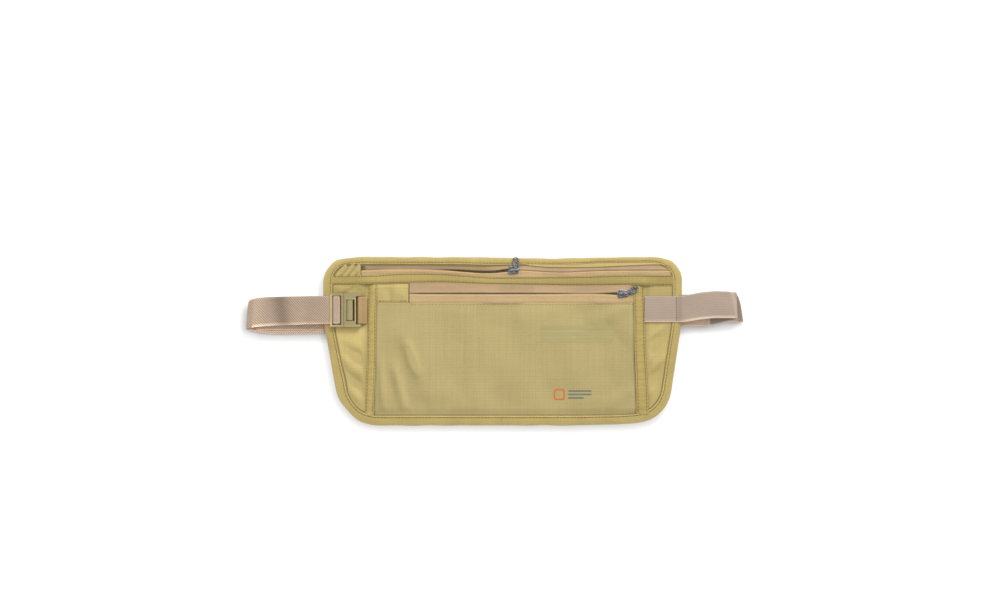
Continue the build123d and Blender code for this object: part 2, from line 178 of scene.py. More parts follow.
# The panels end inside the binding's fold
PANEL = rounded_outline(OUTER_CORNERS) * 0.45 + INNER * 0.55
PANEL_BOTTOM = PANEL[:, 1].min()
PANEL_TOP = PANEL[:, 1].max()
OUTER_FINE = rounded_outline(OUTER_CORNERS, 26, 90)
INNER_FINE = wander(rounded_outline(INNER_CORNERS, 26, 90))


def crossings(outline, axis, level):
    """The other coordinate wherever an outline meets a level on one axis: 0 is x, 1 is z."""
    start, end = outline, np.roll(outline, -1, axis=0)
    hit = (start[:, axis] - level) * (end[:, axis] - level) <= 0
    start, end = start[hit], end[hit]
    run = end[:, axis] - start[:, axis]
    run = np.where(abs(run) < 1e-9, 1e-9, run)
    share = np.clip((level - start[:, axis]) / run, 0, 1)
    return start[:, 1 - axis] + share * (end - start)[:, 1 - axis]


def span(outline, z):
    """Left and right x of a convex outline at a height."""
    z = float(np.clip(z, outline[:, 1].min() + 1e-3, outline[:, 1].max() - 1e-3))
    found = crossings(outline, 1, z)
    return found.min(), found.max()


def panel_top(x):
    return np.array([crossings(PANEL, 0, place).max() for place in np.atleast_1d(x)])


def warp(x, z):
    """Height after the sag of the pouch's top edge and the softening of its corners."""
    top = smooth(34.2, 39.0, z)
    shift = (0.95 - 1.25 * bell(x, 32, 40)) * top + 0.15 * np.sin(x * 0.045 + 1.0) * top
    shift = shift - (1.25 * bell(x, -124, 8) + 0.9 * bell(x, 128, 6)) * smooth(33.0, 39.5, z)
    shift = shift + 2.1 * bell(x, -125, 8.5) * smooth(-58, -76, z)
    shift = shift + 1.1 * bell(x, 106, 11) * smooth(-76, -86, z)
    bottom = smooth(-78, -87, z) * smooth(-110, -96, x) * (1 - smooth(56, 86, x))
    return z + shift - 0.75 * bottom


def panel_grid(heights, across, right=None):
    """x and z grids over the panel, from its left edge to its right edge or to a given x."""
    columns = []
    for z in heights:
        start, end = span(PANEL, z)
        columns.append(np.linspace(start, end if right is None else right, across))
    return np.stack(columns, -1), np.tile(heights, (across, 1))


# ---------------------------------------------------------------- meshes
def place(ob, *nodes, body="pouch"):
    """Fixes a piece to a body, in place of the named CAD nodes."""
    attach(ob, body)
    if nodes:
        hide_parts(*nodes)


def build(name, points, faces, uv, material, slot, shade=1.0, sharp=50):
    """A smooth mesh of x, depth, z points in mm; sharp is its crease angle in degrees."""
    points = np.asarray(points, float).reshape(-1, 3)
    mesh = bpy.data.meshes.new(name)
    places = points * (MM, -MM, MM)
    mesh.from_pydata(places.tolist(), [], [list(map(int, face)) for face in faces])
    work = bmesh.new()
    work.from_mesh(mesh)
    bmesh.ops.recalc_face_normals(work, faces=work.faces)
    work.to_mesh(mesh)
    work.free()
    corners = np.empty(len(mesh.loops), np.int32)
    mesh.loops.foreach_get("vertex_index", corners)
    uv = np.asarray(uv, np.float32).reshape(-1, 2)
    mesh.uv_layers.new(name="UVMap").data.foreach_set("uv", uv[corners].ravel())
    shades = np.ones(len(points)) * np.ravel(shade)
    attribute = mesh.attributes.new("shade", "FLOAT", "POINT")
    attribute.data.foreach_set("value", shades.astype(np.float32))
    mesh.polygons.foreach_set("use_smooth", np.ones(len(mesh.polygons), bool))
    mesh.set_sharp_from_angle(angle=math.radians(sharp))
    ob = bpy.data.objects.new(name, mesh)
    bpy.context.scene.collection.objects.link(ob)
    ob.data.materials.append(material)
    return ob


def grid_faces(index):
    corners = [index[:-1, :-1], index[1:, :-1], index[1:, 1:], index[:-1, 1:]]
    return np.stack(corners, -1).reshape(-1, 4)


def wall_faces(start, end, offset):
    """Quads that join a front edge to the same edge of a second grid, offset in number."""
    return np.stack([end, start, start + offset, end + offset], -1)


def tube_faces(count, around, closed=False):
    """Faces of a tube of count rings; its ends are capped unless it is closed."""
    index = np.arange(count * around).reshape(count, around)
    near, far = (index, np.roll(index, -1, axis=0)) if closed else (index[:-1], index[1:])
    corners = [near, far, np.roll(far, -1, axis=1), np.roll(near, -1, axis=1)]
    faces = np.stack(corners, -1).reshape(-1, 4).tolist()
    if not closed:
        faces += [index[0].tolist(), index[-1][::-1].tolist()]
    return faces


def sweep(name, rings, uv, material, slot, closed=False, **look):
    """A tube through cross-sections, (count, around, 3)."""
    faces = tube_faces(*rings.shape[:2], closed)
    return build(name, rings, faces, uv, material, slot, **look)


def slope_shade(x, z, depth, strength):
    """Makes folds lighter or darker by their slope along x and z."""
    run, rise = np.gradient(x, axis=0), np.gradient(z, axis=1)
    slope_x = np.gradient(depth, axis=0) / np.where(abs(run) < 1e-6, 1e-6, run)
    slope_z = np.gradient(depth, axis=1) / np.where(abs(rise) < 1e-6, 1e-6, rise)
    return np.clip(1 - strength * (0.62 * slope_x + 0.78 * slope_z), 0.74, 1.16)


def sheet(name, x, z, depth, thickness, material, slot="ripstop", shade=1.0, edge=0,
          fold_light=0):
    """A closed cloth sheet on (columns, rows) grids; edge is how far its rim turns back."""
    shade = np.ones_like(x) * shade
    if fold_light:
        lit = slope_shade(x, z, depth, fold_light)
        lit[0], lit[-1], lit[:, 0], lit[:, -1] = lit[1], lit[-2], lit[:, 1], lit[:, -2]
        shade = shade * lit
    warped = warp(x, z)
    front = np.stack([x, depth, warped], -1)
    back = np.stack([x, depth - thickness, warped], -1)
    for rim in (front[0], front[-1], front[:, 0], front[:, -1]):
        rim[..., 1] -= edge
    count = x.size
    index = np.arange(count).reshape(x.shape)
    faces = grid_faces(index)
    faces = np.concatenate([
        faces,
        faces[:, ::-1] + count,
        wall_faces(index[:-1, 0], index[1:, 0], count),
        wall_faces(index[:-1, -1], index[1:, -1], count)[:, ::-1],
        wall_faces(index[0, 1:], index[0, :-1], count),
        wall_faces(index[-1, 1:], index[-1, :-1], count)[:, ::-1],
    ])
    points = np.concatenate([front.reshape(-1, 3), back.reshape(-1, 3)])
    uv = np.tile(np.stack([x, z], -1).reshape(-1, 2), (2, 1))
    return build(name, points, faces, uv, material, slot, np.tile(shade.ravel(), 2))


# One stitch: places along it from -1 to 1, the share of its radius there, and angles round it
STITCH_ALONG = np.array([-1, -0.75, -0.3, 0.3, 0.75, 1.0])
STITCH_GIRTH = np.array([0.15, 0.75, 1, 1, 0.75, 0.15])
STITCH_ANGLES = np.arange(6) * TURN / 6


def stitches(name, rows, radius, pitch=STITCH_PITCH, length=1.9, facing=1.0, body="pouch",
             material=None):
    """Thread stitches along rows of x, depth, z points; facing is -1 for the rear."""
    shapes = []
    along = STITCH_ALONG[None, :, None, None]
    for row in rows:
        travel = run_length(row)
        count = max(1, int(travel[-1] / pitch))
        middle = (np.arange(count) + 0.5) * travel[-1] / count
        centre, ahead, behind = (
            np.stack([np.interp(middle + offset, travel, row[:, k]) for k in range(3)], -1)
            for offset in (0, 0.3, -0.3)
        )
        heading = unit(ahead - behind)
        outward = np.array([0, facing, 0.0])
        outward = unit(outward[None, :] - heading * (heading @ outward)[:, None])
        sideways = np.cross(heading, outward)[:, None, None, :]
        heading = heading[:, None, None, :]
        outward = outward[:, None, None, :]
        ring = np.cos(STITCH_ANGLES)[None, None, :, None] * 0.8 * outward
        ring = ring + np.sin(STITCH_ANGLES)[None, None, :, None] * sideways
        shape = centre[:, None, None, :] + along * length / 2 * heading
        shape = shape + (radius * STITCH_GIRTH)[None, :, None, None] * ring
        shape = shape - np.abs(along) ** 3 * 0.22 * outward  # the ends sink into the cloth
        shapes.append(shape.reshape(-1, 3))
    points = np.concatenate(shapes)
    one = tube_faces(len(STITCH_ALONG), len(STITCH_ANGLES))
    size = len(STITCH_ALONG) * len(STITCH_ANGLES)
    faces = [[v + base for v in face] for base in range(0, len(points), size) for face in one]
    ob = build(name, points, faces, points[:, [0, 2]], material or THREAD, "thread", sharp=80)
    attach(ob, body)
    return ob


# ---------------------------------------------------------------- shader helpers
def add_node(tree, kind, inputs, **settings):
    """A shader node; each input is given a value, a socket or a Signal."""
    node = tree.nodes.new("ShaderNode" + kind)
    for name, value in settings.items():
        setattr(node, name, value)
    for key, value in inputs.items():
        value = getattr(value, "socket", value)
        if isinstance(value, bpy.types.NodeSocket):
            tree.links.new(value, node.inputs[key])
        else:
            node.inputs[key].default_value = value
    return node


class Signal:
    """A number in a shader. Arithmetic on it adds math nodes."""

    def __init__(self, tree, socket):
        self.tree = tree
        self.socket = socket

    def math(self, operation, first, second=0.0):
        node = add_node(self.tree, "Math", {0: first, 1: second}, operation=operation)
        return Signal(self.tree, node.outputs[0])

    def __add__(self, other):
        return self.math("ADD", self, other)

    def __radd__(self, other):
        return self.math("ADD", other, self)

    def __sub__(self, other):
        return self.math("SUBTRACT", self, other)

    def __mul__(self, other):
        return self.math("MULTIPLY", self, other)

    def __pow__(self, other):
        return self.math("POWER", self, other)

    def __lt__(self, other):
        return self.math("LESS_THAN", self, other)

    def __abs__(self):
        return self.math("ABSOLUTE", self)

    def maximum(self, other):
        return self.math("MAXIMUM", self, other)

    def wave(self, period):
        return self.math("SINE", self * (TURN / period) + 0.0)

    def clamped(self):
        """Keeps the latest step between 0 and 1."""
        self.socket.node.use_clamp = True
        return self


def linear(colour):
    """sRGB 0-255 to linear RGBA."""
    shares = [v / 255 for v in colour]
    return (*(v / 12.92 if v <= 0.04045 else ((v + 0.055) / 1.055) ** 2.4 for v in shares), 1)


class Surface:
    """A material under construction. Its coordinates are in mm."""

    def __init__(self, name, roughness, specular, sheen=0.0, metallic=0.0, on_object=False):
        self.material = bpy.data.materials.new(name)
        self.material.use_nodes = True
        self.tree = self.material.node_tree
        self.tree.nodes.clear()
        shader = self.add("BsdfPrincipled", {
            "Roughness": roughness, "Metallic": metallic, "Specular IOR Level": specular,
            "Sheen Weight": sheen, "Sheen Roughness": 0.5,
        })
        self.inputs = shader.inputs
        self.add("OutputMaterial", {0: shader.outputs[0]})
        if on_object:
            metres = self.add("TexCoord", {}).outputs["Object"]
            scaled = self.add("VectorMath", {0: metres, "Scale": 1000}, operation="SCALE")
            self.vector = scaled.outputs[0]
        else:
            self.vector = self.add("UVMap", {}, uv_map="UVMap").outputs[0]

    def add(self, kind, inputs, **settings):
        return add_node(self.tree, kind, inputs, **settings)

    def split(self, vector):
        outputs = self.add("SeparateXYZ", {0: vector}).outputs
        return [Signal(self.tree, outputs[k]) for k in range(3)]

    def noise(self, scale, detail, stretch=None):
        vector = self.vector
        if stretch:
            vector = self.add("Mapping", {0: vector, "Scale": stretch}).outputs[0]
        inputs = {"Scale": scale, "Detail": detail, "Vector": vector}
        return Signal(self.tree, self.add("TexNoise", inputs).outputs[0])

    def mix(self, share, first, second):
        inputs = {0: share, 6: linear(first), 7: linear(second)}
        return self.add("Mix", inputs, data_type="RGBA").outputs[2]

    def scale_colour(self, colour, factor):
        inputs = {0: colour, "Scale": factor}
        return self.add("VectorMath", inputs, operation="SCALE").outputs[0]

    def shade(self):
        """The brightness stored on the mesh."""
        node = self.add("Attribute", {}, attribute_name="shade")
        return Signal(self.tree, node.outputs["Fac"])

    def finish(self, colour, height, relief, roughness=None):
        """Links the results; relief is the height's reach in mm."""
        bump = self.add("Bump", {"Strength": 1.0, "Distance": relief * MM, "Height": height})
        self.tree.links.new(colour, self.inputs["Base Color"])
        self.tree.links.new(bump.outputs[0], self.inputs["Normal"])
        if roughness:
            self.tree.links.new(roughness.socket, self.inputs["Roughness"])
        return self.material


# ---------------------------------------------------------------- materials
def ripstop(name, first, second, ribs=0.045, streak=0.045):
    """Fine plain-weave cloth; ribs is its grid's darkness and streak that of its long threads."""
    grid, thread = 2.3, 0.62  # periods, mm
    surface = Surface(name, roughness=0.72, sheen=0.12, specular=0.25)
    x, z, _ = surface.split(surface.vector)
    # The UV map holds x and z, so its second coordinate is the height
    broad = surface.noise(scale=0.02, detail=1)
    fine = surface.noise(scale=0.5, detail=2)
    upright = surface.noise(scale=1.0, detail=2, stretch=(0.55, 0.018, 0.55))
    level = surface.noise(scale=1.0, detail=2, stretch=(0.02, 0.6, 0.02))
    colour = surface.mix((broad * 1.2 + fine * 0.15 - 0.18).clamped(), first, second)
    lines = [((axis.wave(grid) + 1.0) * 0.5) ** 7 for axis in (x, z)]
    rip = lines[0].maximum(lines[1])
    weave = x.wave(thread) * z.wave(thread)
    tone = 1.0 + (upright - 0.5) * (streak * 3) + (level - 0.5) * (streak * 1.8)
    tone = (tone - rip * ribs + weave * 0.03) * surface.shade()
    return surface.finish(
        surface.scale_colour(colour, tone),
        height=weave * 0.5 + rip * 0.8 + fine * 0.15,
        relief=0.09,
        roughness=0.62 + fine * 0.25,
    )


def tape_cloth(name, first, second, period, along, relief, contrast):
    """Woven tape whose ribs repeat along u or v."""
    surface = Surface(name, roughness=0.78, sheen=0.2, specular=0.25)
    x, z, _ = surface.split(surface.vector)
    ribbed, plain = (x, z) if along == "u" else (z, x)
    broad = surface.noise(scale=0.05, detail=3)
    fine = surface.noise(scale=0.9, detail=3)
    colour = surface.mix((broad * 2.0 - 0.5).clamped(), first, second)
    rib = ribbed.wave(period)
    cross = rib * plain.wave(period * 0.55)
    tone = 1.0 + rib * contrast + (fine - 0.5) * 0.22 + cross * (contrast * 0.5)
    return surface.finish(
        surface.scale_colour(colour, tone * surface.shade()),
        height=rib + (cross * 0.6 + fine),
        relief=relief,
        roughness=0.68 + fine * 0.22,
    )


def twill(name, light, dark):
    """Soft webbing in a diagonal weave. u runs along the strap and v across it."""
    surface = Surface(name, roughness=0.82, sheen=0.25, specular=0.2)
    along, across, _ = surface.split(surface.vector)
    broad = surface.noise(scale=0.03, detail=2)
    fine = surface.noise(scale=0.8, detail=3)
    wobble = (surface.noise(scale=0.12, detail=2) - 0.5) * 1.6
    rib = (along * 0.80 - across * 0.72 + wobble * 0.4).wave(1.5)
    counter = (along * 0.78 + across * 0.74).wave(1.25)
    grain = rib * (0.55 + counter * 0.5)
    colour = surface.mix((0.5 + grain * 0.5).clamped(), dark, light)
    tone = (0.93 + (broad - 0.5) * 0.25 + (fine - 0.5) * 0.15) * surface.shade()
    return surface.finish(
        surface.scale_colour(colour, tone), height=grain + fine * 0.4, relief=0.16
    )


def buckle_painted_highlights(surface, painted_highlight):
    """Painted highlights where the light catches the buckle's bars, lower rim and pad sill,
    picked out by x and z in mm.
    """
    x, _, z = surface.split(surface.vector)
    bar = (x < -132.3) * (painted_highlight * 0.9) + (x < -133.7) * (painted_highlight * 4.2)
    lower_rim = (z < -11.7) * painted_highlight
    post = (abs(x + 114.95) < 0.5) * (abs(z) < 9.5) * (painted_highlight * 1.2)
    sill = (abs(z - 8.9) < 0.45) * (abs(x + 118.4) < 3.6) * (painted_highlight * 1.1)
    return 1.0 + bar.maximum(lower_rim).maximum(post.maximum(sill))


def moulded(name, first, second, roughness, metallic=0.0, specular=0.4, relief=0.03,
            grain_scale=3.0, painted_highlight=0.0):
    surface = Surface(name, roughness, specular, metallic=metallic, on_object=True)
    cloud = surface.noise(scale=0.12, detail=3)
    fine = surface.noise(scale=grain_scale, detail=3)
    colour = surface.mix((cloud * 1.8 - 0.4).clamped(), first, second)
    # Painted highlights where the light catches the buckle
    if painted_highlight:
        colour = surface.scale_colour(colour, buckle_painted_highlights(surface, painted_highlight))
    return surface.finish(colour, fine, relief, roughness=(roughness - 0.08) + fine * 0.2)


def gunmetal(name):
    """Metal with painted light: bright where it faces up, nearly black where it faces down, with
    cloudy variation.
    """
    surface = Surface(name, roughness=0.32, metallic=0.75, specular=0.5, on_object=True)
    cloud = surface.noise(scale=0.9, detail=3)
    fine = surface.noise(scale=6.0, detail=3)
    x, _, z = surface.split(surface.add("NewGeometry", {}).outputs["Normal"])
    upward = z * 0.62 + x * -0.22
    tone = (0.50 + upward * 0.9 + (cloud - 0.5) * 1.5).clamped()
    ramp = surface.add("ValToRGB", {0: tone})
    elements = ramp.color_ramp.elements
    elements[0].position = 0.0
    elements[0].color = linear((28, 27, 28))
    elements[1].position = 1.0
    elements[1].color = linear((226, 229, 235))
    middle = ((0.30, (74, 74, 76)), (0.52, (128, 129, 133)), (0.74, (176, 178, 184)))
    for position, colour in middle:
        elements.new(position).color = linear(colour)
    return surface.finish(
        ramp.outputs[0], height=cloud + fine * 0.4, relief=0.08, roughness=0.24 + fine * 0.22
    )


POCKET = ripstop("ripstop_pocket", (189, 171, 117), (177, 162, 109))
WING = ripstop("ripstop_wing", (203, 183, 122), (190, 170, 106), ribs=0.05, streak=0.04)
BAND = ripstop("ripstop_band", (189, 168, 103), (179, 158, 94), ribs=0.03, streak=0.05)
BACK = ripstop("ripstop_back", (188, 170, 112), (176, 159, 104))
BINDING = tape_cloth("binding_tape", (196, 175, 111), (184, 162, 99),
                     period=0.9, along="u", relief=0.08, contrast=0.05)
ZIP_TAPE = tape_cloth("zip_tape", (206, 177, 130), (196, 166, 122),
                      period=0.7, along="v", relief=0.06, contrast=0.04)
ZIP_SHADED = tape_cloth("zip_tape_shaded", (196, 165, 124), (182, 153, 120),
                        period=0.7, along="v", relief=0.06, contrast=0.05)
WEBBING = twill("webbing_twill", light=(220, 196, 174), dark=(142, 118, 97))
ELASTIC = tape_cloth("elastic_ribs", (175, 156, 140), (169, 150, 134),
                     period=1.3, along="v", relief=0.06, contrast=0.03)
ANCHOR = tape_cloth("anchor_tape", (192, 160, 112), (180, 148, 98),
                    period=1.1, along="u", relief=0.12, contrast=0.07)
THREAD = tape_cloth("thread", (128, 108, 54), (110, 92, 46),
                    period=0.35, along="u", relief=0.05, contrast=0.15)
TACK_THREAD = tape_cloth("thread_tack", (214, 176, 130), (196, 160, 118),
                         period=0.35, along="u", relief=0.05, contrast=0.15)
COIL = moulded("coil_nylon", (190, 160, 116), (170, 142, 100), roughness=0.4)
# The buckle's plastic carries painted highlights on its bars and rims
PLASTIC = moulded("buckle_plastic", (160, 146, 103), (150, 137, 95), roughness=0.4,
                  specular=0.5, relief=0.05, grain_scale=2.2, painted_highlight=0.25)
PAD = moulded("buckle_pad", (163, 152, 108), (152, 141, 99), roughness=0.5,
              relief=0.06, grain_scale=1.4)
METAL = gunmetal("gunmetal")
LINER = moulded("shield_liner", (150, 146, 136), (128, 124, 114), roughness=0.5,
                metallic=0.2, relief=0.1, grain_scale=0.8)
TONAL = moulded("print_tonal", (172, 161, 112), (166, 156, 108), roughness=0.7,
                specular=0.25, relief=0.04, grain_scale=2.0)
ORANGE = moulded("print_orange", (216, 112, 52), (204, 100, 46), roughness=0.55,
                 specular=0.3, relief=0.04, grain_scale=2.0)
GREY = moulded("print_grey", (108, 122, 112), (96, 108, 100), roughness=0.55,
               specular=0.3, relief=0.04, grain_scale=2.0)


# ---------------------------------------------------------------- pouch back and front
def panel_heights(bottom, top, step):
    return np.linspace(bottom, top, int((top - bottom) / step) + 1)


def make_back():
    x, z = panel_grid(panel_heights(PANEL_BOTTOM + 0.02, PANEL_TOP - 0.02, 1.6), across=150)
    depth = 5.75 + (0.30 * drift(x, z, 60, 3) + 0.16 * drift(x, z, 24, 4))
    place(sheet("pouch_back", x, z, depth, 0.6, BACK, fold_light=-0.9), "back_panel")


# Painted light and shade along slanting creases on the right wing: start x, z, end x, z, strength
WING_CREASES = [
    (112.5, -51.0, 132.0, -34.0, 1.0),
    (113.0, -24.0, 132.0, -9.5, 0.8),
    (111.5, -70.0, 124.0, -57.0, 0.6),
]
# Painted light and shade down the left wing, lightest just below the buckle to ease its shadow:
# z, brightness
LEFT_WING_PAINTED_LIGHT = [
    (-82, 0.99), (-68, 0.97), (-55, 0.93), (-39, 1.0), (-27, 1.08), (-15.5, 1.20),
    (-11, 1.0), (25, 1.0),
]


def wing_relief(x, z):
    """Diagonal ripples outside the hems, fading to flat at the binding."""
    left = smooth(-107.5, -112, x) * smooth(-20, -34, z)
    right = smooth(114, 119, x) * smooth(-12, -22, z)
    left_folds = 0.85 * np.sin((x * 0.55 + z * 0.83) * 0.36 + 0.6) + 0.35 * drift(x, z, 19, 2)
    right_folds = 0.95 * np.sin((x * 0.62 - z * 0.78) * 0.30 + 1.2) + 0.35 * drift(x, z, 21, 1)
    upper = smooth(-107.5, -112, x) * smooth(10, 15, z) * 0.25 * np.sin((x * 0.5 + z) * 0.5)
    relief = np.clip(left * left_folds + right * right_folds, -0.4, 1.25) + upper
    for j in range(x.shape[1]):
        start, end = span(INNER, float(z[0, j]))
        relief[:, j] *= smooth(0.3, 6, x[:, j] - start) * smooth(0.3, 6, end - x[:, j])
    return relief * smooth(-82.6, -74, z)


def wing_shade(x, z):
    # The right half is darker, and painted shade darkens the cloth beside each hem
    shade = 0.985 - 0.045 * (x > 0) - 0.12 * (bell(x, -106.5, 2.2) + bell(x, 113.2, 2.2))
    # Painted shade on the top corners
    shade = shade * (1 - 0.10 * smooth(112, 114, x) * smooth(10.5, 12.0, z))
    shade = shade * (1 - 0.06 * smooth(-108, -112, x) * smooth(10, 13, z))
    # Painted light and shade down the left wing
    shade = shade * (1 + (curve(z, LEFT_WING_PAINTED_LIGHT) - 1) * smooth(-104, -108, x))
    # Painted shade along a crease up from the buckle's top, with a painted highlight beside it
    away = to_segment(x, z, -124.4, 14.4, -117.6, 17.4)[1]
    patch = 0.10 * bell(np.hypot(x + 117.5, z - 13.4), 0, 2.6)
    shade = shade * (1 - 0.26 * bell(away, 0, 1.0) + patch)
    # Painted light and shade along each crease
    for start_x, start_z, end_x, end_z, strength in WING_CREASES:
        run, rise = end_x - start_x, end_z - start_z
        length = math.hypot(run, rise)
        along = ((x - start_x) * run + (z - start_z) * rise) / length
        across = ((z - start_z) * run - (x - start_x) * rise) / length
        keep = smooth(-1, 5, along) * (1 - smooth(length - 4, length + 3, along))
        ridge = 0.07 * bell(across, 1.6, 2.2) - 0.09 * bell(across, -1.6, 1.9)
        shade = shade * (1 + strength * keep * ridge)
    # The cloth behind the front zip lies in the dark
    return shade * (1 - 0.86 * smooth(-76, -73, x) * (1 - smooth(96, 99, x)) * bell(z, 13.0, 3.0))


def make_wings():
    x, z = panel_grid(panel_heights(PANEL_BOTTOM + 0.02, 24.4, 1.3), across=260)
    wings = sheet("pouch_front_wings", x, z, 10.5 + wing_relief(x, z), 0.5, WING,
                  shade=wing_shade(x, z), fold_light=0.45)
    place(wings, "main_front_panel")


# ---------------------------------------------------------------- edge binding
# Cross-section: share of the way from the inner to the outer edge, depth.
# It runs round the front, the back, and then inside the fold.
BINDING_PROFILE = [
    (-0.20, 10.64), (-0.14, 10.66), (-0.07, 10.74), (-0.015, 10.95), (0.02, 11.32),
    (0.07, 11.48), (0.115, 11.34), (0.15, 10.96), (0.19, 10.90), (0.24, 11.14),
    (0.34, 11.22), (0.48, 11.12), (0.62, 10.86), (0.76, 10.42), (0.88, 9.85),
    (0.96, 9.15), (1.00, 8.30),
    (1.00, 7.30), (0.96, 6.50), (0.88, 5.85), (0.76, 5.35), (0.60, 4.95), (0.42, 4.72),
    (0.26, 4.62), (0.19, 4.84), (0.15, 4.82), (0.10, 4.56), (0.04, 4.52), (0.00, 4.80),
    (0.03, 5.20), (0.55, 5.75), (0.88, 6.9), (0.93, 7.8), (0.88, 8.7), (0.55, 9.85),
    (0.03, 10.35),
]
BINDING_FRONT_POINTS = 17
BINDING_STITCH_SHARE = 0.168


def binding_line(share):
    """x and z of a line round the binding, and the tape's unevenness in depth there."""
    x, z = (INNER_FINE + share * (OUTER_FINE - INNER_FINE)).T
    # The tape laps over itself along the bottom
    outer_x, outer_z = OUTER_FINE.T
    lap = smooth(-2.0, -1.7, outer_x) * (1 - smooth(60.6, 60.9, outer_x)) * (outer_z < -80)
    return x, z, 0.16 * drift(x, z, 34, 5) + 0.07 * drift(x, z, 9, 6) + 0.22 * lap


def make_binding():
    travel = run_length(OUTER_FINE)
    out_x, out_z = unit(OUTER_FINE - INNER_FINE).T
    rings, uvs, shades = [], [], []
    for k, (share, depth) in enumerate(BINDING_PROFILE):
        is_front = k < BINDING_FRONT_POINTS
        side = 1 if is_front else -1
        x, z, uneven = binding_line(share)
        # The tape pulls in a little between stitches
        pull = 0.05 * np.sin(travel * TURN / 2.6) * bell(share, 0.15, 0.08)
        spread = 0.22 * drift(x, z, 26, 7) * smooth(0.7, 1.0, share)
        spread = spread + 0.10 * drift(x, z, 15, 8) * bell(share, 0, 0.1)
        swell = uneven * (0.02 < share < 0.97)
        rings.append(track(
            x + out_x * spread, depth + (swell + pull) * side, warp(x, z) + out_z * spread
        ))
        uvs.append(np.stack([travel, np.full_like(x, share * 7 + (0 if is_front else 20))], -1))
        # Painted shade in the stitch groove and a painted shadow under the lip, with a painted
        # highlight on the ridge between them
        shade = 1.0 - 0.26 * bell(share, 0.17, 0.035) - 0.62 * bell(share, -0.11, 0.075)
        shade = shade + 0.34 * bell(share, 0.065, 0.045) + 0 * x
        if is_front:
            # Painted light on the outer part along the bottom and the left, which turns away from
            # the lamp
            lower_left = 0.20 * np.clip(-out_z, 0, 1) + 0.10 * np.clip(-out_x, 0, 1)
            shade = shade * (1 + smooth(0.3, 0.95, share) * lower_left)
        shades.append(shade)
    binding = sweep("edge_binding_tape", np.stack(rings, 1), np.stack(uvs, 1), BINDING,
                    "binding", closed=True, shade=np.stack(shades, 1))
    place(binding, "edge_binding")


def stitch_binding():
    x, z, uneven = binding_line(BINDING_STITCH_SHARE)
    for name, depth, facing in (("front", 11.08, 1.0), ("back", 4.72, -1.0)):
        line = track(x, depth + facing * uneven, warp(x, z))
        stitches(f"stitch_binding_{name}", [np.vstack([line, line[:1]])], radius=0.25,
                 length=2.0, facing=facing)
    # The two lapped joins
    z = np.linspace(-88.6, -83.6, 9)
    depth = np.interp((-82.6 - z) / 7.2, [0.0, 0.06, 0.34, 0.62, 0.88],
                      [10.9, 11.3, 11.26, 10.9, 9.9]) + 0.27
    for name, x, radius in (("a", -0.4, 0.2), ("b", 59.6, 0.1)):
        stitches(f"stitch_join_{name}", [track(x, depth, z)], radius, pitch=1.3, length=1.0)


# ---------------------------------------------------------------- bands and garages
# Edges of the band between the zips: x, z
DIVIDER_TOP = [
    (-134, 27.2), (-118, 27.2), (-107, 27.3), (-98, 27.55), (-87, 28.6), (-72, 29.1),
    (-49, 28.8), (-29, 27.4), (-9.5, 25.9), (12, 25.9), (53, 26.4), (69, 26.8), (85, 27.5),
    (101, 27.7), (120, 27.6), (135, 27.4),
]
DIVIDER_BOTTOM = [
    (-134, 20.0), (-118, 20.3), (-84, 20.7), (-49, 21.5), (-9.5, 20.4), (30, 19.6),
    (69, 19.1), (85, 19.2), (101, 19.5), (120, 19.2), (135, 19.0),
]
# Tone along the band: x, brightness
DIVIDER_TONE = [
    (-134, 0.90), (-84, 0.88), (-49, 0.80), (-9, 0.79), (53, 0.72), (90, 0.74), (120, 0.79),
    (135, 0.79),
]
# Stitch lines as shares of the way from the bottom edge to the top edge
DIVIDER_STITCHES = (("top", 0.87), ("bottom", 0.12))


def divider_height(x, share):
    bottom = curve(x, DIVIDER_BOTTOM)
    return bottom + (curve(x, DIVIDER_TOP) - bottom) * share


def divider_depth(x, share):
    """The band stands proud in its middle, most of all at its bottom edge."""
    middle = smooth(-114.5, -101.5, x) * (1 - smooth(107.0, 121.0, x))
    proud = 13.45 - 2.0 * smooth(0.25, 1.05, share)
    return 11.15 + (proud - 11.15) * middle + 0.10 * drift(x, share * 8, 24, 4)


def make_divider():
    along = stations(-133.3, 134.2, 1.3)
    share = np.array([0, 0.04, 0.12, 0.2, 0.3, 0.42, 0.55, 0.68, 0.8, 0.88, 0.96, 1.0])
    x = np.repeat(along[:, None], len(share), 1)
    z = divider_height(x, share)
    groove = bell(share, 0.12, 0.05) + bell(share, 0.87, 0.05)
    pucker = 0.10 * np.sin(along * TURN / STITCH_PITCH)[:, None] * groove
    depth = divider_depth(x, share[None, :]) - 0.22 * groove + pucker
    # Painted shade in the stitch grooves and along both edges, with painted highlights on the
    # rows just inside the edges
    shade = (1 - 0.26 * groove) * curve(x, DIVIDER_TONE)
    shade[:, 0] = shade[:, -1] = 0.5
    shade[:, 1] *= 1.16
    shade[:, -2] *= 1.16
    # The ends taper under the binding's inner lip
    fitted = x.copy()
    for j in range(len(share)):
        start, end = span(INNER, float(np.mean(z[:, j])))
        fitted[:, j] = np.interp(x[:, j], [x[0, j], x[-1, j]], [start - 0.5, end + 0.5])
    band = sheet("divider_band_cloth", fitted, z, depth, 0.5, BAND, shade=shade, edge=0.3,
                 fold_light=0.15)
    place(band, "divider_band")
    x = np.linspace(-132.5, 133.2, 220)
    for name, share in DIVIDER_STITCHES:
        depth = divider_depth(x, np.full_like(x, share)) - 0.02
        stitches(f"stitch_divider_{name}", [track(x, depth, divider_height(x, share))], 0.25)


HEM_BOTTOM = -82.9
HEM_TAPER_HEIGHT = 102.8
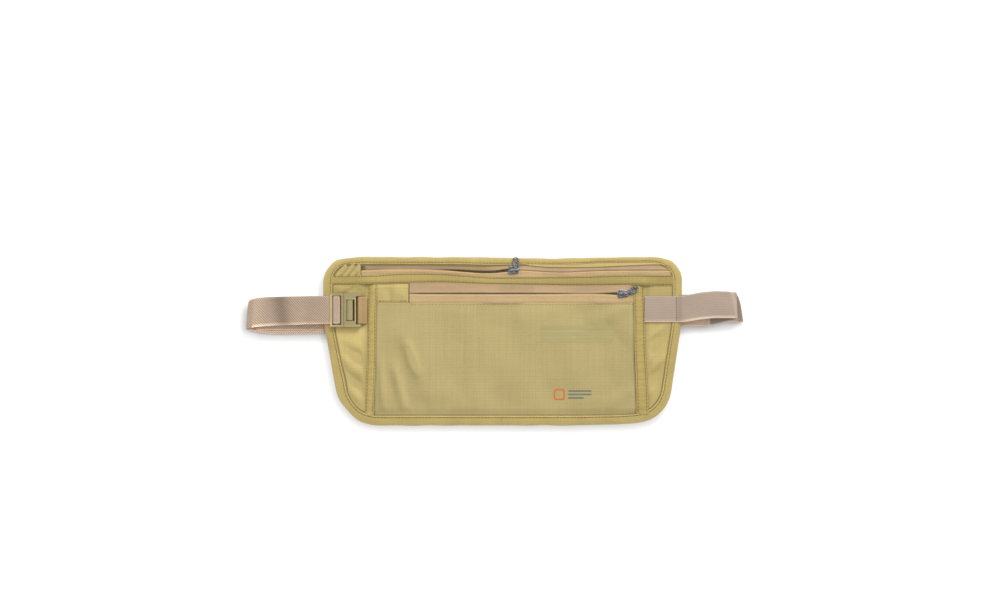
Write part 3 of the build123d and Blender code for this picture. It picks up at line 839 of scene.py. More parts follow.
# Hems at the pocket's sides: bottom x and top x of the left edge, then of the right edge
LEFT_HEM = ((-107.2, -104.6), (-100.3, -98.0))
RIGHT_HEM = ((105.3, 102.9), (115.1, 110.9))


def hem_edge(ends, side, z):
    """x of a hem's edge; side is -1 for the left hem and 1 for the right."""
    bottom, top = ends
    share = (z - HEM_BOTTOM) / HEM_TAPER_HEIGHT
    return bottom + (top - bottom) * share + 0.25 * np.sin(z * 0.09 + side)


def make_hem(word, edges, side):
    name = f"hem_{word}"
    heights = stations(HEM_BOTTOM, 21.0, 1.4)
    share = np.array([0, 0.05, 0.14, 0.24, 0.36, 0.5, 0.64, 0.76, 0.86, 0.95, 1.0])
    left, right = (hem_edge(ends, side, heights) for ends in edges)
    x = left + (right - left) * share[:, None]
    z = np.tile(heights, (len(share), 1))
    inward = share if side < 0 else 1 - share  # 1 beside the pocket
    depth = 11.2 + 2.65 * smooth(-0.05, 0.85, inward)[:, None] * np.ones_like(z)
    # It dips at its bottom and top
    depth = depth - 2.5 * smooth(-72, -83.2, heights) * smooth(0.0, 0.9, inward)[:, None]
    depth = depth - 0.95 * smooth(16.5, 19.5, heights) * smooth(0.3, 0.9, inward)[:, None]
    groove = (bell(share, 0.16, 0.055) + bell(share, 0.84, 0.055))[:, None]
    pucker = 0.16 * groove * np.sin(heights * TURN / STITCH_PITCH)
    depth = depth - 0.22 * groove + pucker + 0.10 * drift(x, z, 20, 9)
    # Painted shade in the stitch grooves, in ripples down the middle and at both edges, with
    # painted highlights on the rolled rims
    shade = (1 - 0.24 * groove + 0 * z) * (1.10 if side < 0 else 0.97)
    ripple = np.sin(heights * TURN / 5.1 + 2 * np.sin(heights * 0.2))
    shade = shade * (1 + 0.07 * ripple * bell(share, 0.5, 0.3)[:, None])
    rims = 1 + 0.20 * bell(inward, 0.94, 0.04) + 0.08 * bell(inward, 0.05, 0.04)
    shade = shade * rims[:, None]
    shade[0] = shade[-1] = 0.55
    hem = sheet(name, x, z, depth, 0.5, BAND, shade=shade, edge=0.35)
    place(hem, f"pocket_band_{word}")
    for letter, j in (("a", 2), ("b", 8)):  # the stations nearest the two grooves
        line = track(x[j], depth[j] + 0.06, z[j])[3:-3]
        stitches(f"stitch_{name}_{letter}", [line], radius=0.27)


def make_front_garage():
    """A short, softly crumpled cloth panel at the left end of the front zip."""
    x, z = np.meshgrid(stations(-98.6, -73.2, 1.0), stations(6.0, 21.2, 0.9), indexing="ij")
    depth = 13.35 + 0.8 * bell(x, -81.5, 5.0) * bell(z, 13.8, 5.0)
    depth = depth - 0.3 * bell(x, -88.2, 2.4) * bell(z, 13.5, 4.6)
    depth = depth + 0.15 * drift(x, z, 11, 3) + 0.1 * smooth(-76, -73.4, x)
    depth = depth - 0.6 * smooth(18.0, 20.5, z)
    # Painted shade in the dent, and along the left and lower edges
    shade = 1 - 0.06 * bell(x, -87.0, 2.0) * bell(z, 13.0, 4.6)
    shade = shade * (1 - 0.35 * bell(x, -98.6, 0.8) - 0.2 * bell(z, 6.4, 0.6)) * 0.95
    garage = sheet("front_garage_cloth", x, z, depth, 0.5, WING, shade=shade, edge=0.35,
                   fold_light=0.5)
    place(garage, "front_zip_garage")
    line = track(np.linspace(-97, -74.5, 20), 13.55, 7.3)
    stitches("stitch_front_garage", [line], radius=0.18)


def make_top_garage():
    """The cloth at the left end of the top zip, gathered in diagonal pleats."""
    x, z = panel_grid(np.linspace(25.9, 39.2, 20), across=44, right=-110.9)
    pleat = np.sin((x * 0.82 - z * 0.57 + 0.4 * drift(x, z, 12, 5)) * TURN / 4.7)
    middle = smooth(-135, -129, x) * (1 - smooth(-114, -111, x))
    depth = np.clip(10.65 + 0.5 * pleat * middle + 0.15 * drift(x, z, 9, 2), 10.2, 11.4)
    # Painted shade in the hollows of the pleats
    shade = (1 - 0.30 * np.clip(-pleat, 0, 1) ** 2 * middle) * 0.94
    garage = sheet("top_garage_cloth", x, z, depth, 0.5, WING, shade=shade, edge=0.2,
                   fold_light=0.12)
    place(garage, "top_zip_garage")


# ---------------------------------------------------------------- front pocket
POCKET_X = (-101.3, 106.2)
POCKET_Z = (-82.7, 6.1)
POCKET_STITCH_Z = 4.5
# Long soft folds: start x, z, end x, z, width, height
POCKET_FOLDS = [
    (-77, -22, -65, -54, 4.2, 2.0),
    (-85, -42, -76, -80, 4.0, 2.0),
    (-95.5, -38, -93, -80, 3.0, 1.1),
    (-60, -60, -52, -80, 5.5, 0.4),
    (70, -12, 103, 6, 5.5, 0.75),
    (80, -78, 104, -60, 5.0, 0.75),
    (34, -22, 38, -60, 6.0, 0.25),
    (8, -10, 12, -50, 7.0, 0.2),
    (84, -20, 88, -52, 5.0, 0.25),
]


def inside_pocket(x, z, bottom_start, bottom, top):
    """Fades to 0 at the pocket's edges; bottom and top are how wide those fades are."""
    side = smooth(0, bottom, x - POCKET_X[0]) * smooth(0, bottom, POCKET_X[1] - x)
    low = smooth(bottom_start, 8, z - POCKET_Z[0])
    return side * low * smooth(0, top, POCKET_Z[1] - z)


def settle_pocket():
    """Pins a sheet along its edges, gives it spare cloth and lets it settle.

    Returns its x stations, its z stations and its forward relief.
    """
    columns, rows = 82, 37
    along_x = np.linspace(*POCKET_X, columns)
    along_z = np.linspace(*POCKET_Z, rows)
    x, z = np.meshgrid(along_x, along_z, indexing="ij")
    start = 0.30 * drift(x, z, 60, 1) + 0.08 * drift(x, z, 26, 2)
    start = start * inside_pocket(x, z, bottom_start=0, bottom=8, top=5)
    index = np.arange(columns * rows).reshape(columns, rows)
    mesh = bpy.data.meshes.new("settle")
    points = np.stack([x, -start, z], -1).reshape(-1, 3) * MM
    mesh.from_pydata(points.tolist(), [], grid_faces(index).tolist())
    ob = bpy.data.objects.new("settle", mesh)
    scene = bpy.context.scene
    scene.collection.objects.link(ob)
    edge = np.concatenate([index[0], index[-1], index[:, 0], index[:, -1]])
    pinned = ob.vertex_groups.new(name="pin")
    pinned.add([int(i) for i in set(edge.tolist())], 1.0, "REPLACE")
    cloth = ob.modifiers.new("Cloth", "CLOTH")
    settings = cloth.settings
    settings.quality = 6
    settings.mass = 0.12
    settings.tension_stiffness = settings.compression_stiffness = 12
    settings.shear_stiffness = 6
    settings.bending_stiffness = 0.08
    settings.air_damping = 2
    settings.vertex_group_mass = "pin"
    settings.shrink_min = -0.004
    settings.use_pressure = True
    settings.uniform_pressure_force = 0.10
    settings.effector_weights.gravity = 0.0
    cloth.collision_settings.use_collision = False
    cloth.point_cache.frame_start = 1
    cloth.point_cache.frame_end = 26
    for number in range(1, 25):
        scene.frame_set(number)
    settled = ob.evaluated_get(bpy.context.evaluated_depsgraph_get()).to_mesh()
    places = np.empty(len(settled.vertices) * 3)
    settled.vertices.foreach_get("co", places)
    relief = -places.reshape(columns, rows, 3)[..., 1] / MM
    scene.frame_set(1)
    bpy.data.objects.remove(ob)
    bpy.data.meshes.remove(mesh)
    return along_x, along_z, relief


def soften(grid, passes=4):
    for _ in range(passes):
        grid = np.pad(grid, 1, mode="edge")
        grid = (grid[:-2] + 2 * grid[1:-1] + grid[2:]) / 4
        grid = (grid[:, :-2] + 2 * grid[:, 1:-1] + grid[:, 2:]) / 4
    return grid


def relief_at(x, z):
    """The settled relief between its grid points, eased half way to a smooth step."""
    along_x, along_z, grid = SETTLED
    cells, shares = [], []
    for value, line in ((x, along_x), (z, along_z)):
        position = np.clip((value - line[0]) / (line[1] - line[0]), 0, len(line) - 1.001)
        cell = position.astype(int)
        share = position - cell
        cells.append(cell)
        shares.append(share * share * (3 - 2 * share) * 0.5 + share * 0.5)
    i, j = cells
    right, up = shares
    lower = grid[i, j] * (1 - right) + grid[i + 1, j] * right
    upper = grid[i, j + 1] * (1 - right) + grid[i + 1, j + 1] * right
    return lower * (1 - up) + upper * up


def pocket_depth(x, z, rolled=True):
    """Front face of the pocket; rolled turns it down under the binding and the hems."""
    x, z = np.asarray(x, float), np.asarray(z, float)
    folds = 0
    for *ends, width, height in POCKET_FOLDS:
        share, away = to_segment(x, z, *ends)
        taper = np.sin(np.clip(share, 0.02, 0.98) * math.pi) ** 0.5
        folds = folds + height * bell(away, 0, width) * taper
    depth = 13.42 + np.clip(relief_at(x, z), -0.5, 2.2)
    depth = depth + inside_pocket(x, z, bottom_start=-1, bottom=6, top=4) * folds
    if rolled:
        depth = depth - 2.6 * smooth(-76.5, -83.0, z)
        depth = depth - 0.55 * (smooth(-98.6, -100.6, x) + smooth(101.2, 104.2, x))
    return np.clip(depth, 10.8, 15.9)


def pocket_shade(x, z):
    shade = slope_shade(x, z, pocket_depth(x, z, rolled=False), 0.42)
    # Faint upright streaks, and painted light on the bottom, where the cloth turns down under the
    # binding
    streaks = 0.012 * np.sin(x * 0.9 + 2.2 * np.sin(x * 0.23)) * smooth(-70, -30, z)
    shade = shade * (0.995 + streaks + 0.10 * smooth(-75, -80, z))
    # Shadow beside the hems and along the binding
    left = hem_edge(LEFT_HEM[1], -1, z) + 0.2
    right = hem_edge(RIGHT_HEM[0], 1, z) - 0.2
    beside = 0.42 * (bell(x, left, 0.6) + bell(x, right, 0.6))
    shade = shade * (1 - beside - 0.36 * bell(z, -81.9, 0.6))
    # Painted highlights on the folded edges at the top and bottom, and the dark stitch line
    shade = shade + 0.12 * bell(z, 5.55, 0.35) - 0.07 * bell(z, POCKET_STITCH_Z, 0.5)
    shade = shade + 0.06 * bell(z, -80.9, 0.5)
    # The lower right falls off slightly
    return shade * (1 - 0.05 * smooth(40, 104, x) * smooth(20, -40, z))


def make_pocket():
    # Extra rows where the cloth turns at the top and bottom
    extra = [np.arange(3.9, 6.1, 0.35), np.arange(-82.6, -80.2, 0.35)]
    heights = np.unique(np.round(np.concatenate([stations(*POCKET_Z, 1.0), *extra]), 3))
    x, z = np.meshgrid(stations(*POCKET_X, 1.0), heights, indexing="ij")
    pocket = sheet("pocket_panel_cloth", x, z, pocket_depth(x, z), 0.45, POCKET,
                   shade=pocket_shade(x, z), edge=0.3)
    place(pocket, "front_pocket_panel", "pocket_floor_hem")
    along_x = stations(POCKET_X[0] + 3.6, POCKET_X[1] - 3.6, 3.0)
    along_z = stations(POCKET_Z[0] + 3.2, 3.9, 3.0)
    x, z = np.meshgrid(along_x, along_z, indexing="ij")
    depth = np.minimum(pocket_depth(x, z) - 0.55, 14.5)
    liner = sheet("shield_liner_front", x, z, depth, 0.15, LINER, slot="liner")
    place(liner, "rfid_liner_front")
    x = np.linspace(-72.0, 103.5, 160)
    z = np.full_like(x, POCKET_STITCH_Z)
    line = track(x, pocket_depth(x, z) + 0.02, z)
    stitches("stitch_pocket_top", [line], radius=0.13, length=1.8)


# ---------------------------------------------------------------- prints on the pocket
def decal(node, parts, material, slot):
    """A thin film on the pocket, made of (x, z) grids."""
    points, faces, base = [], [], 0
    for x, z in parts:
        depth = pocket_depth(x, z) + 0.07
        count = x.size
        index = np.arange(count).reshape(x.shape)
        front = grid_faces(index)
        rim = np.concatenate(
            [index[:-1, 0], index[-1, :-1], index[1:, -1][::-1], index[0, 1:][::-1]]
        )
        walls = wall_faces(rim, np.roll(rim, -1), count)
        faces.append(np.concatenate([front, front[:, ::-1] + count, walls]) + base)
        for layer in (depth, depth - 0.09):
            points.append(track(x, layer, z).reshape(-1, 3))
        base += 2 * count
    points = np.concatenate(points)
    film = build(node + "_film", points, np.concatenate(faces), points[:, [0, 2]], material,
                 slot)
    place(film, node)


def stripe(left, right, bottom, height, slant, across):
    top = bottom + height
    x, z = np.meshgrid(
        np.linspace(left, right, across), np.linspace(bottom, top, 5), indexing="ij"
    )
    return x + slant * (z - bottom), z


def badge_half(first):
    """Half of a soft-cornered square outline, starting at the given one of 40 steps."""
    centre_x, centre_z, size, width = 44.8, -66.0, 4.3, 1.0
    angles = np.linspace(0, TURN, 41)[first : first + 21][::-1]
    cosine, sine = np.cos(angles), np.sin(angles)
    square = (abs(cosine) ** 6 + abs(sine) ** 6) ** (-1 / 6)
    radii = (size, size - width / 2, size - width)
    return centre_x + np.outer(square * cosine, radii), centre_z + np.outer(square * sine, radii)


def make_prints():
    bars = [stripe(29, 86, z, height=3.0, slant=0.66, across=30) for z in (-25.4, -20.2, -15.0)]
    decal("print_bars", bars, TONAL, "print_tonal")
    decal("print_badge", [badge_half(0), badge_half(20)], ORANGE, "print_orange")
    dashes = [
        stripe(52.0, 52.0 + length, z, height=1.2, slant=0.0, across=12)
        for length, z in ((18.0, -63.9), (18.0, -66.6), (12.0, -69.3))
    ]
    decal("print_dashes", dashes, GREY, "print_grey")


# ---------------------------------------------------------------- zips
# z is the closed line's height, slider its slider's x, left and right the tapes' ends
TOP_ZIP = SimpleNamespace(name="top", z=31.3, slider=8.8, left=-110.4, right=136.2, depth=10.5)
FRONT_ZIP = SimpleNamespace(
    name="front", z=13.0, slider=94.6, left=-72.6, right=104.5, depth=13.4
)
# Half opening of the front zip: x from the slider, gap. The lips touch part of the way.
FRONT_GAP = [
    (-170, 0.24), (-60, 0.22), (-48, 0.16), (-41, 0.04), (-21, 0.05), (-12, 0.38),
    (-4.5, 0.78), (-1, 0.5), (1, 0.0), (12, 0.0),
]
# Drop of the open top zip's lower lip: x, shift
TOP_LIP_SAG = [
    (-112, 0), (-100, 0.95), (-84, 1.3), (-49, 0.75), (-30, -0.8), (-12, -1.95), (-3, -1.3),
    (4, -0.15), (8, 0), (20, 0),
]


def opening(x, zipper):
    """Half of the gap between the lips."""
    offset = x - zipper.slider
    if zipper is FRONT_ZIP:
        gap = curve(offset, FRONT_GAP)
    else:
        gap = np.where(offset >= 1.0, 0.0, np.minimum(1.0, (1.0 - offset) / 4.4) * 0.9)
        gap = np.where(offset < -5, np.maximum(0.3, 0.9 - 0.6 * (-5 - offset) / 11), gap)
    return gap * np.clip((x - zipper.left) / 9.0, 0, 1)


def vertex_places(ob):
    """x, y, z of each vertex in mm."""
    return np.array([vertex.co[:] for vertex in ob.data.vertices]) / MM


def follow_slider(ob, zipper, sewn=None):
    """Bakes a tape's placement into its mesh and weighs how far each point would run with the
    slider, the open part shortening as the closed part grows; the weights are not applied.

    sewn(x) is the height of an edge that stays where it is stitched.
    """
    left, slider, right = zipper.left, zipper.slider, zipper.right
    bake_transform(ob)
    x, _, z = vertex_places(ob).T
    weights = np.where(x < slider, (x - left) / (slider - left), (right - x) / (right - slider))
    if sewn:
        share = (z - zipper.z) / (sewn(x) - zipper.z)
        weights = weights * (1 - smooth(0.5, 0.95, share))


def no_shift(x):
    return 0 * x


# No painted shade
def no_painted_shade(x, z):
    return 1.0


def make_tape(zipper, half, far, sag, lift, painted_shade, sewn):
    """One tape, from its rolled lip to its sewn edge far(x)."""
    left, slider, right = zipper.left, zipper.slider, zipper.right
    side = 1 if half == "upper" else -1
    # Closer stations round the slider and at the left end
    along = np.unique(np.round(np.concatenate([
        np.arange(left, right, 1.4),
        np.linspace(slider - 17, slider + 2, 40),
        np.linspace(left, left + 9, 14),
        [right],
        np.linspace(slider + 1, min(slider + 12, right), 14),
    ]), 3))
    lip = zipper.z + side * (opening(along, zipper) + 0.05) + sag(along)
    share = np.array([0, 0.03, 0.09, 0.17, 0.27, 0.38, 0.5, 0.62, 0.74, 0.86, 0.95, 1.0])
    z = lip[:, None] + (far(along) - lip)[:, None] * share
    x = np.repeat(along[:, None], len(share), 1)
    roll = 0.34 * bell(share, 0.17, 0.13) - 0.35 * bell(share, 0, 0.03)
    depth = zipper.depth + roll + lift(along)[:, None] * (1 - share)
    depth = depth + 0.05 * drift(x, z, 16, 3) * (share > 0.3)
    if zipper is FRONT_ZIP:  # its right end tucks under the hem
        depth = depth - 0.5 * smooth(99.5, 102.3, x)
    # Painted shade at the lip and at the sewn edge, and a painted highlight on the roll;
    # painted_shade(x, z) adds more
    shade = 1 - 0.28 * bell(share, 0, 0.035) - 0.38 * bell(share, 1.0, 0.05)
    shade = (shade + 0.07 * bell(share, 0.15, 0.08)) * painted_shade(x, z)
    tape = sheet(f"{zipper.name}_zip_{half}_tape_cloth", x, z, depth, 0.45,
                 ZIP_SHADED if half == "upper" else ZIP_TAPE, slot="zip_tape", shade=shade)
    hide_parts(f"{zipper.name}_zip_tape_{half}")
    follow_slider(tape, zipper, sewn)


def make_coil(zipper, half, sag, lift):
    """Turns of one filament along the lip's inner side."""
    side = 1 if half == "upper" else -1
    along = np.arange(zipper.left + 2.4, zipper.right - 2.4, 0.22)
    turn = np.sin(along * TURN / 1.5 + (0 if side > 0 else math.pi))
    radius = (0.50 + 0.10 * turn)[:, None]
    z = zipper.z + side * (opening(along, zipper) + 0.95) + sag(along)
    z = z - side * 0.35 * np.clip(turn, 0, 1)
    depth = zipper.depth - 1.2 + lift(along)
    angles = np.arange(8) * TURN / 8
    rings = track(
        along[:, None],
        depth[:, None] + radius * 0.9 * np.cos(angles),
        z[:, None] + radius * 1.15 * np.sin(angles),
    )
    uv = np.stack(np.broadcast_arrays(along[:, None], angles), -1)
    coil = sweep(f"{zipper.name}_zip_{half}_coil_turns", rings, uv, COIL, "zip_coil", sharp=80)
    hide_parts(f"{zipper.name}_zip_coil_{half}")
    follow_slider(coil, zipper)


def make_zip_half(zipper, half, far, sag=no_shift, lift=no_shift, painted_shade=no_painted_shade, sewn=None):
    make_tape(zipper, half, far, sag, lift, painted_shade, sewn)
    make_coil(zipper, half, sag, lift)


def top_far(x):
    return np.maximum(np.minimum(38.0, panel_top(x) - 0.3), TOP_ZIP.z + 1.4)


def closed_sag(x):
    """The closed chain dips a little on its way to the far end."""
    return -1.55 * bell(x, 47, 22) * smooth(13, 26, x)


def open_part(x):
    return smooth(-109, -100, x) * (1 - smooth(-16, -3, x))


def lower_lift(x):
    return 0.35 * open_part(x)


def upper_lift(x):
    return -0.6 * open_part(x)


def lower_sag(x):
    return closed_sag(x) + curve(x, TOP_LIP_SAG)


def upper_sag(x):
    dip = 1.0 * bell(x, -13, 15) * (1 - smooth(-4, 5, x))
    return closed_sag(x) - dip + 0.3 * lower_lift(x)


def top_upper_painted_shade(x, z):
    """Painted shade: darker along the open part, where the tape lies back, and dark at the
    garage.
    """
    open_shade = 1 - 0.22 * (1 - smooth(-16, 4, x))
    return open_shade * (1 - 0.6 * (1 - smooth(-108.6, -105.5, x + 0.25 * (z - 33))))


def make_zips():
    make_zip_half(TOP_ZIP, "upper", top_far, sag=upper_sag, lift=upper_lift,
                  painted_shade=top_upper_painted_shade, sewn=top_far)
    make_zip_half(TOP_ZIP, "lower", lambda x: 24.8 + 0 * x, sag=lower_sag, lift=lower_lift)
    # The front zip's upper tape gets soft waves of painted shade, and its lower tape a painted
    # shadow line just above the pocket's top edge
    make_zip_half(FRONT_ZIP, "upper", lambda x: divider_height(x, 0) + 0.4,
                  painted_shade=lambda x, z: 0.985 - 0.06 * np.sin(x * 0.11 + 0.5) * bell(z, 16.5, 3))
    make_zip_half(FRONT_ZIP, "lower", lambda x: 5.2 + 0 * x,
                  painted_shade=lambda x, z: 1 - 0.30 * bell(z, 6.45, 0.4))


# Lower edge of the facing above the top zip: x, z
FACING_EDGE = [
    (16, 36.6), (22, 35.0), (32, 34.0), (48, 33.6), (68, 33.7), (90, 34.5), (108, 35.35),
    (118, 35.6), (134, 36.1),
]


def make_facing():
    """The narrow cloth between the rim and the closed end of the top zip."""
    along = stations(16.0, 133.6, 1.2)
    share = np.array([0, 0.06, 0.18, 0.34, 0.6, 0.8, 1.0])
    x = np.repeat(along[:, None], len(share), 1)
    top = np.minimum(37.6, panel_top(along) - 0.35)
    bottom = np.minimum(curve(along, FACING_EDGE), top - 0.6)
    z = bottom[:, None] + (top - bottom)[:, None] * share
    depth = 11.32 - 0.42 * smooth(0.3, 0.7, share) + 0.05 * drift(x, z, 12, 4)
    # Painted highlight just above the lower edge, and painted shade right at it
    shade = 0.95 + 0.16 * bell(share, 0.16, 0.1) - 0.5 * bell(share, 0.0, 0.04)
    place(sheet("top_zip_facing", x, z, depth, 0.32, WING, shade=shade, edge=0.2))


# ---------------------------------------------------------------- straps
def arc(centre, radius, angles, steps, heights, widths):
    """Strap points round a bend; angles, heights and widths are given at its two ends."""
    points = []
    for i in range(steps + 1):
        angle, z, width = (
            start + (end - start) * i / steps for start, end in (angles, heights, widths)
        )
        angle = math.radians(angle)
        x = centre[0] + radius * math.cos(angle)
        points.append((x, centre[1] + radius * math.sin(angle), z, width))
    return points


def resample(points, step):
    points = np.asarray(points, float)
    travel = run_length(points[:, :2])
    places = np.linspace(0, travel[-1], int(travel[-1] / step) + 1)
    return places, np.stack([np.interp(places, travel, column) for column in points.T], -1)


def ribbon(name, path, thickness, material, slot, step, edge_shade=1.1, wave=None, shade=None,
           shear=None):
    """A woven strap along a path of x, depth, centre z and width.

    wave, shade and shear take x, depth and the place across: wave moves the cloth along
    its normal, and shear moves it along x.
    """
    travel, path = resample(path, step)
    for k in range(3):
        mean = np.convolve(path[:, k], np.ones(5) / 5, "valid")
        path[2:-2, k] = path[2:-2, k] * 0.35 + mean * 0.65
    heading = unit(np.gradient(path[:, :2], axis=0))
    x, depth, z, width = (path[:, k : k + 1] for k in range(4))
    share = np.concatenate([[-0.5, -0.485], np.linspace(-0.46, 0.46, 13), [0.485, 0.5]])
    from_middle = abs(share)
    # The edges thin out, just beyond a slightly thicker selvedge
    fullness = np.where(from_middle > 0.49, 0.3, np.where(from_middle > 0.47, 0.8, 1.0))
    fullness = fullness + 0.10 * bell(from_middle, 0.455, 0.02)
    across = share * width
    extra = wave(x, depth, across) if wave else 0 * across
    slide = shear(x, depth, across) if shear else 0
    faces = []
    for side, order in ((1, slice(None)), (-1, slice(None, None, -1))):
        offset = side * thickness / 2 * fullness + extra
        points = track(
            x - heading[:, 1:] * offset + slide, depth + heading[:, :1] * offset, z + across
        )
        faces.append(points[:, order])
    round_share = np.concatenate([share, share[::-1]])
    around = round_share * width
    uv = np.stack(np.broadcast_arrays(travel[:, None], around), -1)
    tone = 1 + (edge_shade - 1) * bell(abs(round_share), 0.49, 0.02) + 0 * around
    if shade:
        tone = tone * shade(x, depth, around)
    return sweep(name, np.concatenate(faces, axis=1), uv, material, slot, shade=tone)


# Each path point is x, depth, centre z, width
BELT_PATH = [
    # The tail, and the turn round the buckle's bar
    (-176.0, 11.1, -0.6, 21.2), (-166.0, 11.2, -0.5, 21.3), (-152.0, 11.75, -0.1, 21.4),
    (-127.6, 11.825, 0.3, 21.4),
    *arc((-127.75, 12.72), 0.85, (-90, 0), 5, (0.3, 0.35), (21.4, 21.4)),
    *arc((-127.75, 13.95), 0.85, (0, 90), 5, (0.3, 0.35), (21.4, 21.4)),
    # The front layer to the left
    (-130.6, 14.8, 0.35, 21.5), (-131.9, 14.5, 0.35, 21.6), (-133.0, 13.4, 0.35, 21.7),
    (-134.4, 13.15, 0.3, 21.7), (-150, 13.2, 0.1, 22.1), (-170, 13.2, -0.5, 22.4),
    (-185, 13.2, -1.1, 22.8), (-193.7, 13.2, -1.9, 22.9),
    # The loop at the left
    *arc((-193.7, 6.9), 6.3, (90, 180), 9, (-1.9, -3.8), (22.9, 22.3))[1:],
    *arc((-193.7, 6.9), 6.3, (180, 270), 9, (-3.8, -5.6), (22.3, 22.6))[1:],
    # The rearmost layer, to the right
    (-189, 0.6, -6.6, 22.6), (-184, 0.6, -7.2, 22.6), (-174, 0.6, -7.7, 22.5),
    (-150, 0.6, -7.6, 22), (-100, 0.6, -4.6, 22), (60, 0.6, 0.2, 22), (140, 0.6, 1.2, 22),
    (176, 0.6, 1.5, 21.6), (187.8, 0.6, 1.3, 21.0),
    *arc((187.8, 1.4), 0.8, (-90, 90), 8, (1.3, 1.35), (21.0, 21.0))[1:],
    # The second layer, back to the left
    (176, 2.2, 1.4, 21.6), (140, 2.2, 0.6, 22), (60, 2.2, -0.6, 22), (-100, 2.2, -4.9, 22),
    (-150, 2.2, -6.3, 22), (-176, 2.2, -6.3, 22), (-184, 2.2, -5.9, 22),
    (-190.5, 2.2, -5.2, 22),
    *arc((-192.2, 3.0), 0.8, (270, 90), 10, (-4.8, -4.3), (22, 22))[1:],
    # The third layer, to the join with the elastic
    (-190.5, 3.8, -4.2, 22), (-184, 3.8, -4.3, 22), (-176, 3.8, -4.5, 22),
    (-150, 3.8, -4.9, 22), (-60, 3.8, -3.2, 22), (100, 3.8, -1.4, 22), (163.5, 3.8, -1.3, 22),
]
ELASTIC_PATH = [
    (111.8, 11.7, 0.9, 20.3), (137.5, 11.7, 0.85, 20.3), (142.5, 11.75, 1.0, 20.6),
    (149, 11.85, 2.2, 21.0), (157, 11.95, 3.6, 21.2), (166.7, 12.0, 4.45, 21.2),
    (180.8, 11.7, 4.3, 20.9),
    *arc((180.8, 7.75), 3.95, (90, -90), 14, (4.3, 3.0), (20.9, 20.9))[1:],
    (174, 3.8, 1.2, 20.6), (168, 3.8, -0.4, 20.4), (163.9, 3.8, -1.0, 20.4),
]
ANCHOR_PATH = [
    (-105.9, 11.95, 0, 21), (-108.3, 12.55, 0, 21), (-110.6, 14.75, 0, 21),
    *arc((-111.5, 13.4), 1.5, (65, 295), 14, (0, 0), (21, 21)),
    (-109.4, 11.35, 0, 21), (-108.3, 11.05, 0, 21), (-106.9, 11.05, 0, 21),
]


def belt_wave(x, depth, across):
    """Soft undulation of the front layer, clear of the layers behind it."""
    front = smooth(12.7, 13.0, depth) * (1 - smooth(-140, -136, x))
    height = 0.8 * bell(x, -188, 8) * (0.5 + across / 30) - 0.7 * bell(x, -173, 7.5)
    height = height + 0.45 * bell(x, -154, 8) + 0.18 * np.sin(across * 0.25 + x * 0.09)
    return -height * front


def belt_shade(x, depth, across):
    front = smooth(12.7, 13.0, depth)
    # Painted shade and light for the hollow and swell of the front layer, and for the turns at
    # the buckle
    tone = 0.16 * smooth(-184, -193, x) - 0.42 * bell(x, -173.0 - across * 0.16, 6.8)
    tone = tone - 0.72 * bell(x, -133.15, 0.62) - 0.14 * bell(x, -129.3, 0.7)
    tone = tone + 0.50 * smooth(-128.5, -127.0, x)
    tone = 1 + tone * front + 0.10 * smooth(14.0, 14.6, depth)
    # Painted highlights on the lower rims at the left, on the front layer and those behind it;
    # the layers behind are also lightened against their shadow, with a painted shadow line above
    # each rim
    rim = 1 + 0.95 * smooth(-9.9, -10.5, across) * front * smooth(-203, -196, x)
    behind = (depth < 4.6) * smooth(-138, -142, x) * smooth(-202, -197, x)
    rear_rim = 0.34 + 0.75 * smooth(-10.0, -10.55, across) - 0.10 * bell(across, -9.5, 0.4)
    rim = rim + behind * rear_rim
    # The layers that show at the right are made paler, partly for the lighter colour of the cloth
    # there and partly as painted light against the shadow of the layers in front, with painted
    # highlights on their lower rims
    right = (0.62 + 0.4 * smooth(-10.2, -10.8, across)) * smooth(130, 145, x)
    fold = 0.42 * (1 - smooth(182.5, 184.5, x)) + 0.45 * smooth(-9.9, -10.4, across)
    fold = fold - 0.20 * smooth(183.0, 184.5, x)
    paler_and_lit = 1 + right * bell(depth, 3.8, 0.9) + smooth(150, 160, x) * (depth < 3.0) * fold
    # Painted shade on the rear fold at the right
    end = 1 - 0.16 * smooth(180, 187, x)
    near_buckle = 1 - 0.07 * smooth(-158, -150, x) * smooth(-134, -142, x) * front
    return tone * rim * paler_and_lit * end * near_buckle


def belt_shear(x, depth, across):
    """The rear fold at the right lies slightly askew, and so does the loop at the left."""
    right = -0.15 * across - 0.012 * np.clip(across, 0, 20) ** 2
    left = 0.075 * across + 0.012 * np.clip(across - 4, 0, 20) ** 2
    return right * smooth(172, 187, x) * (depth < 3.0) + left * smooth(-184, -199, x)


def elastic_wave(x, depth, across):
    ripple = 0.35 * np.sin(across * 0.22 + x * 0.12) + 0.25 * bell(x, 160, 9)
    return smooth(10.5, 11.2, depth) * smooth(138, 146, x) * ripple


def elastic_shade(x, depth, across):
    """Dark at the stitching, with painted highlights on the lower rim and the fold, and painted
    shade on the layers behind.
    """
    near = 1 - 0.16 * bell(x, 139.5, 1.8) * smooth(10.5, 11.2, depth)
    rim = 1 + 0.85 * smooth(-9.1, -9.7, across) * smooth(10.5, 11.4, depth)
    rim = rim + 0.20 * bell(x, 183.6, 1.0) * smooth(6, 9, depth)
    return near * rim * (1 - 0.22 * (1 - smooth(4.2, 9.0, depth)))


def elastic_shear(x, depth, across):
    """The elastic's own fold leans back at its top."""
    lean = 0.13 * np.clip(across + 9, 0, 20) + 0.022 * np.clip(across - 2, 0, 20) ** 2
    return -lean * smooth(166, 181, x) * smooth(6.0, 9.0, depth)


def make_belt():
    belt = ribbon("belt_webbing_strap", BELT_PATH, 1.05, WEBBING, "webbing", step=1.2,
                  edge_shade=1.12, wave=belt_wave, shade=belt_shade, shear=belt_shear)
    place(belt, "belt_webbing", body="buckle_latch_half")


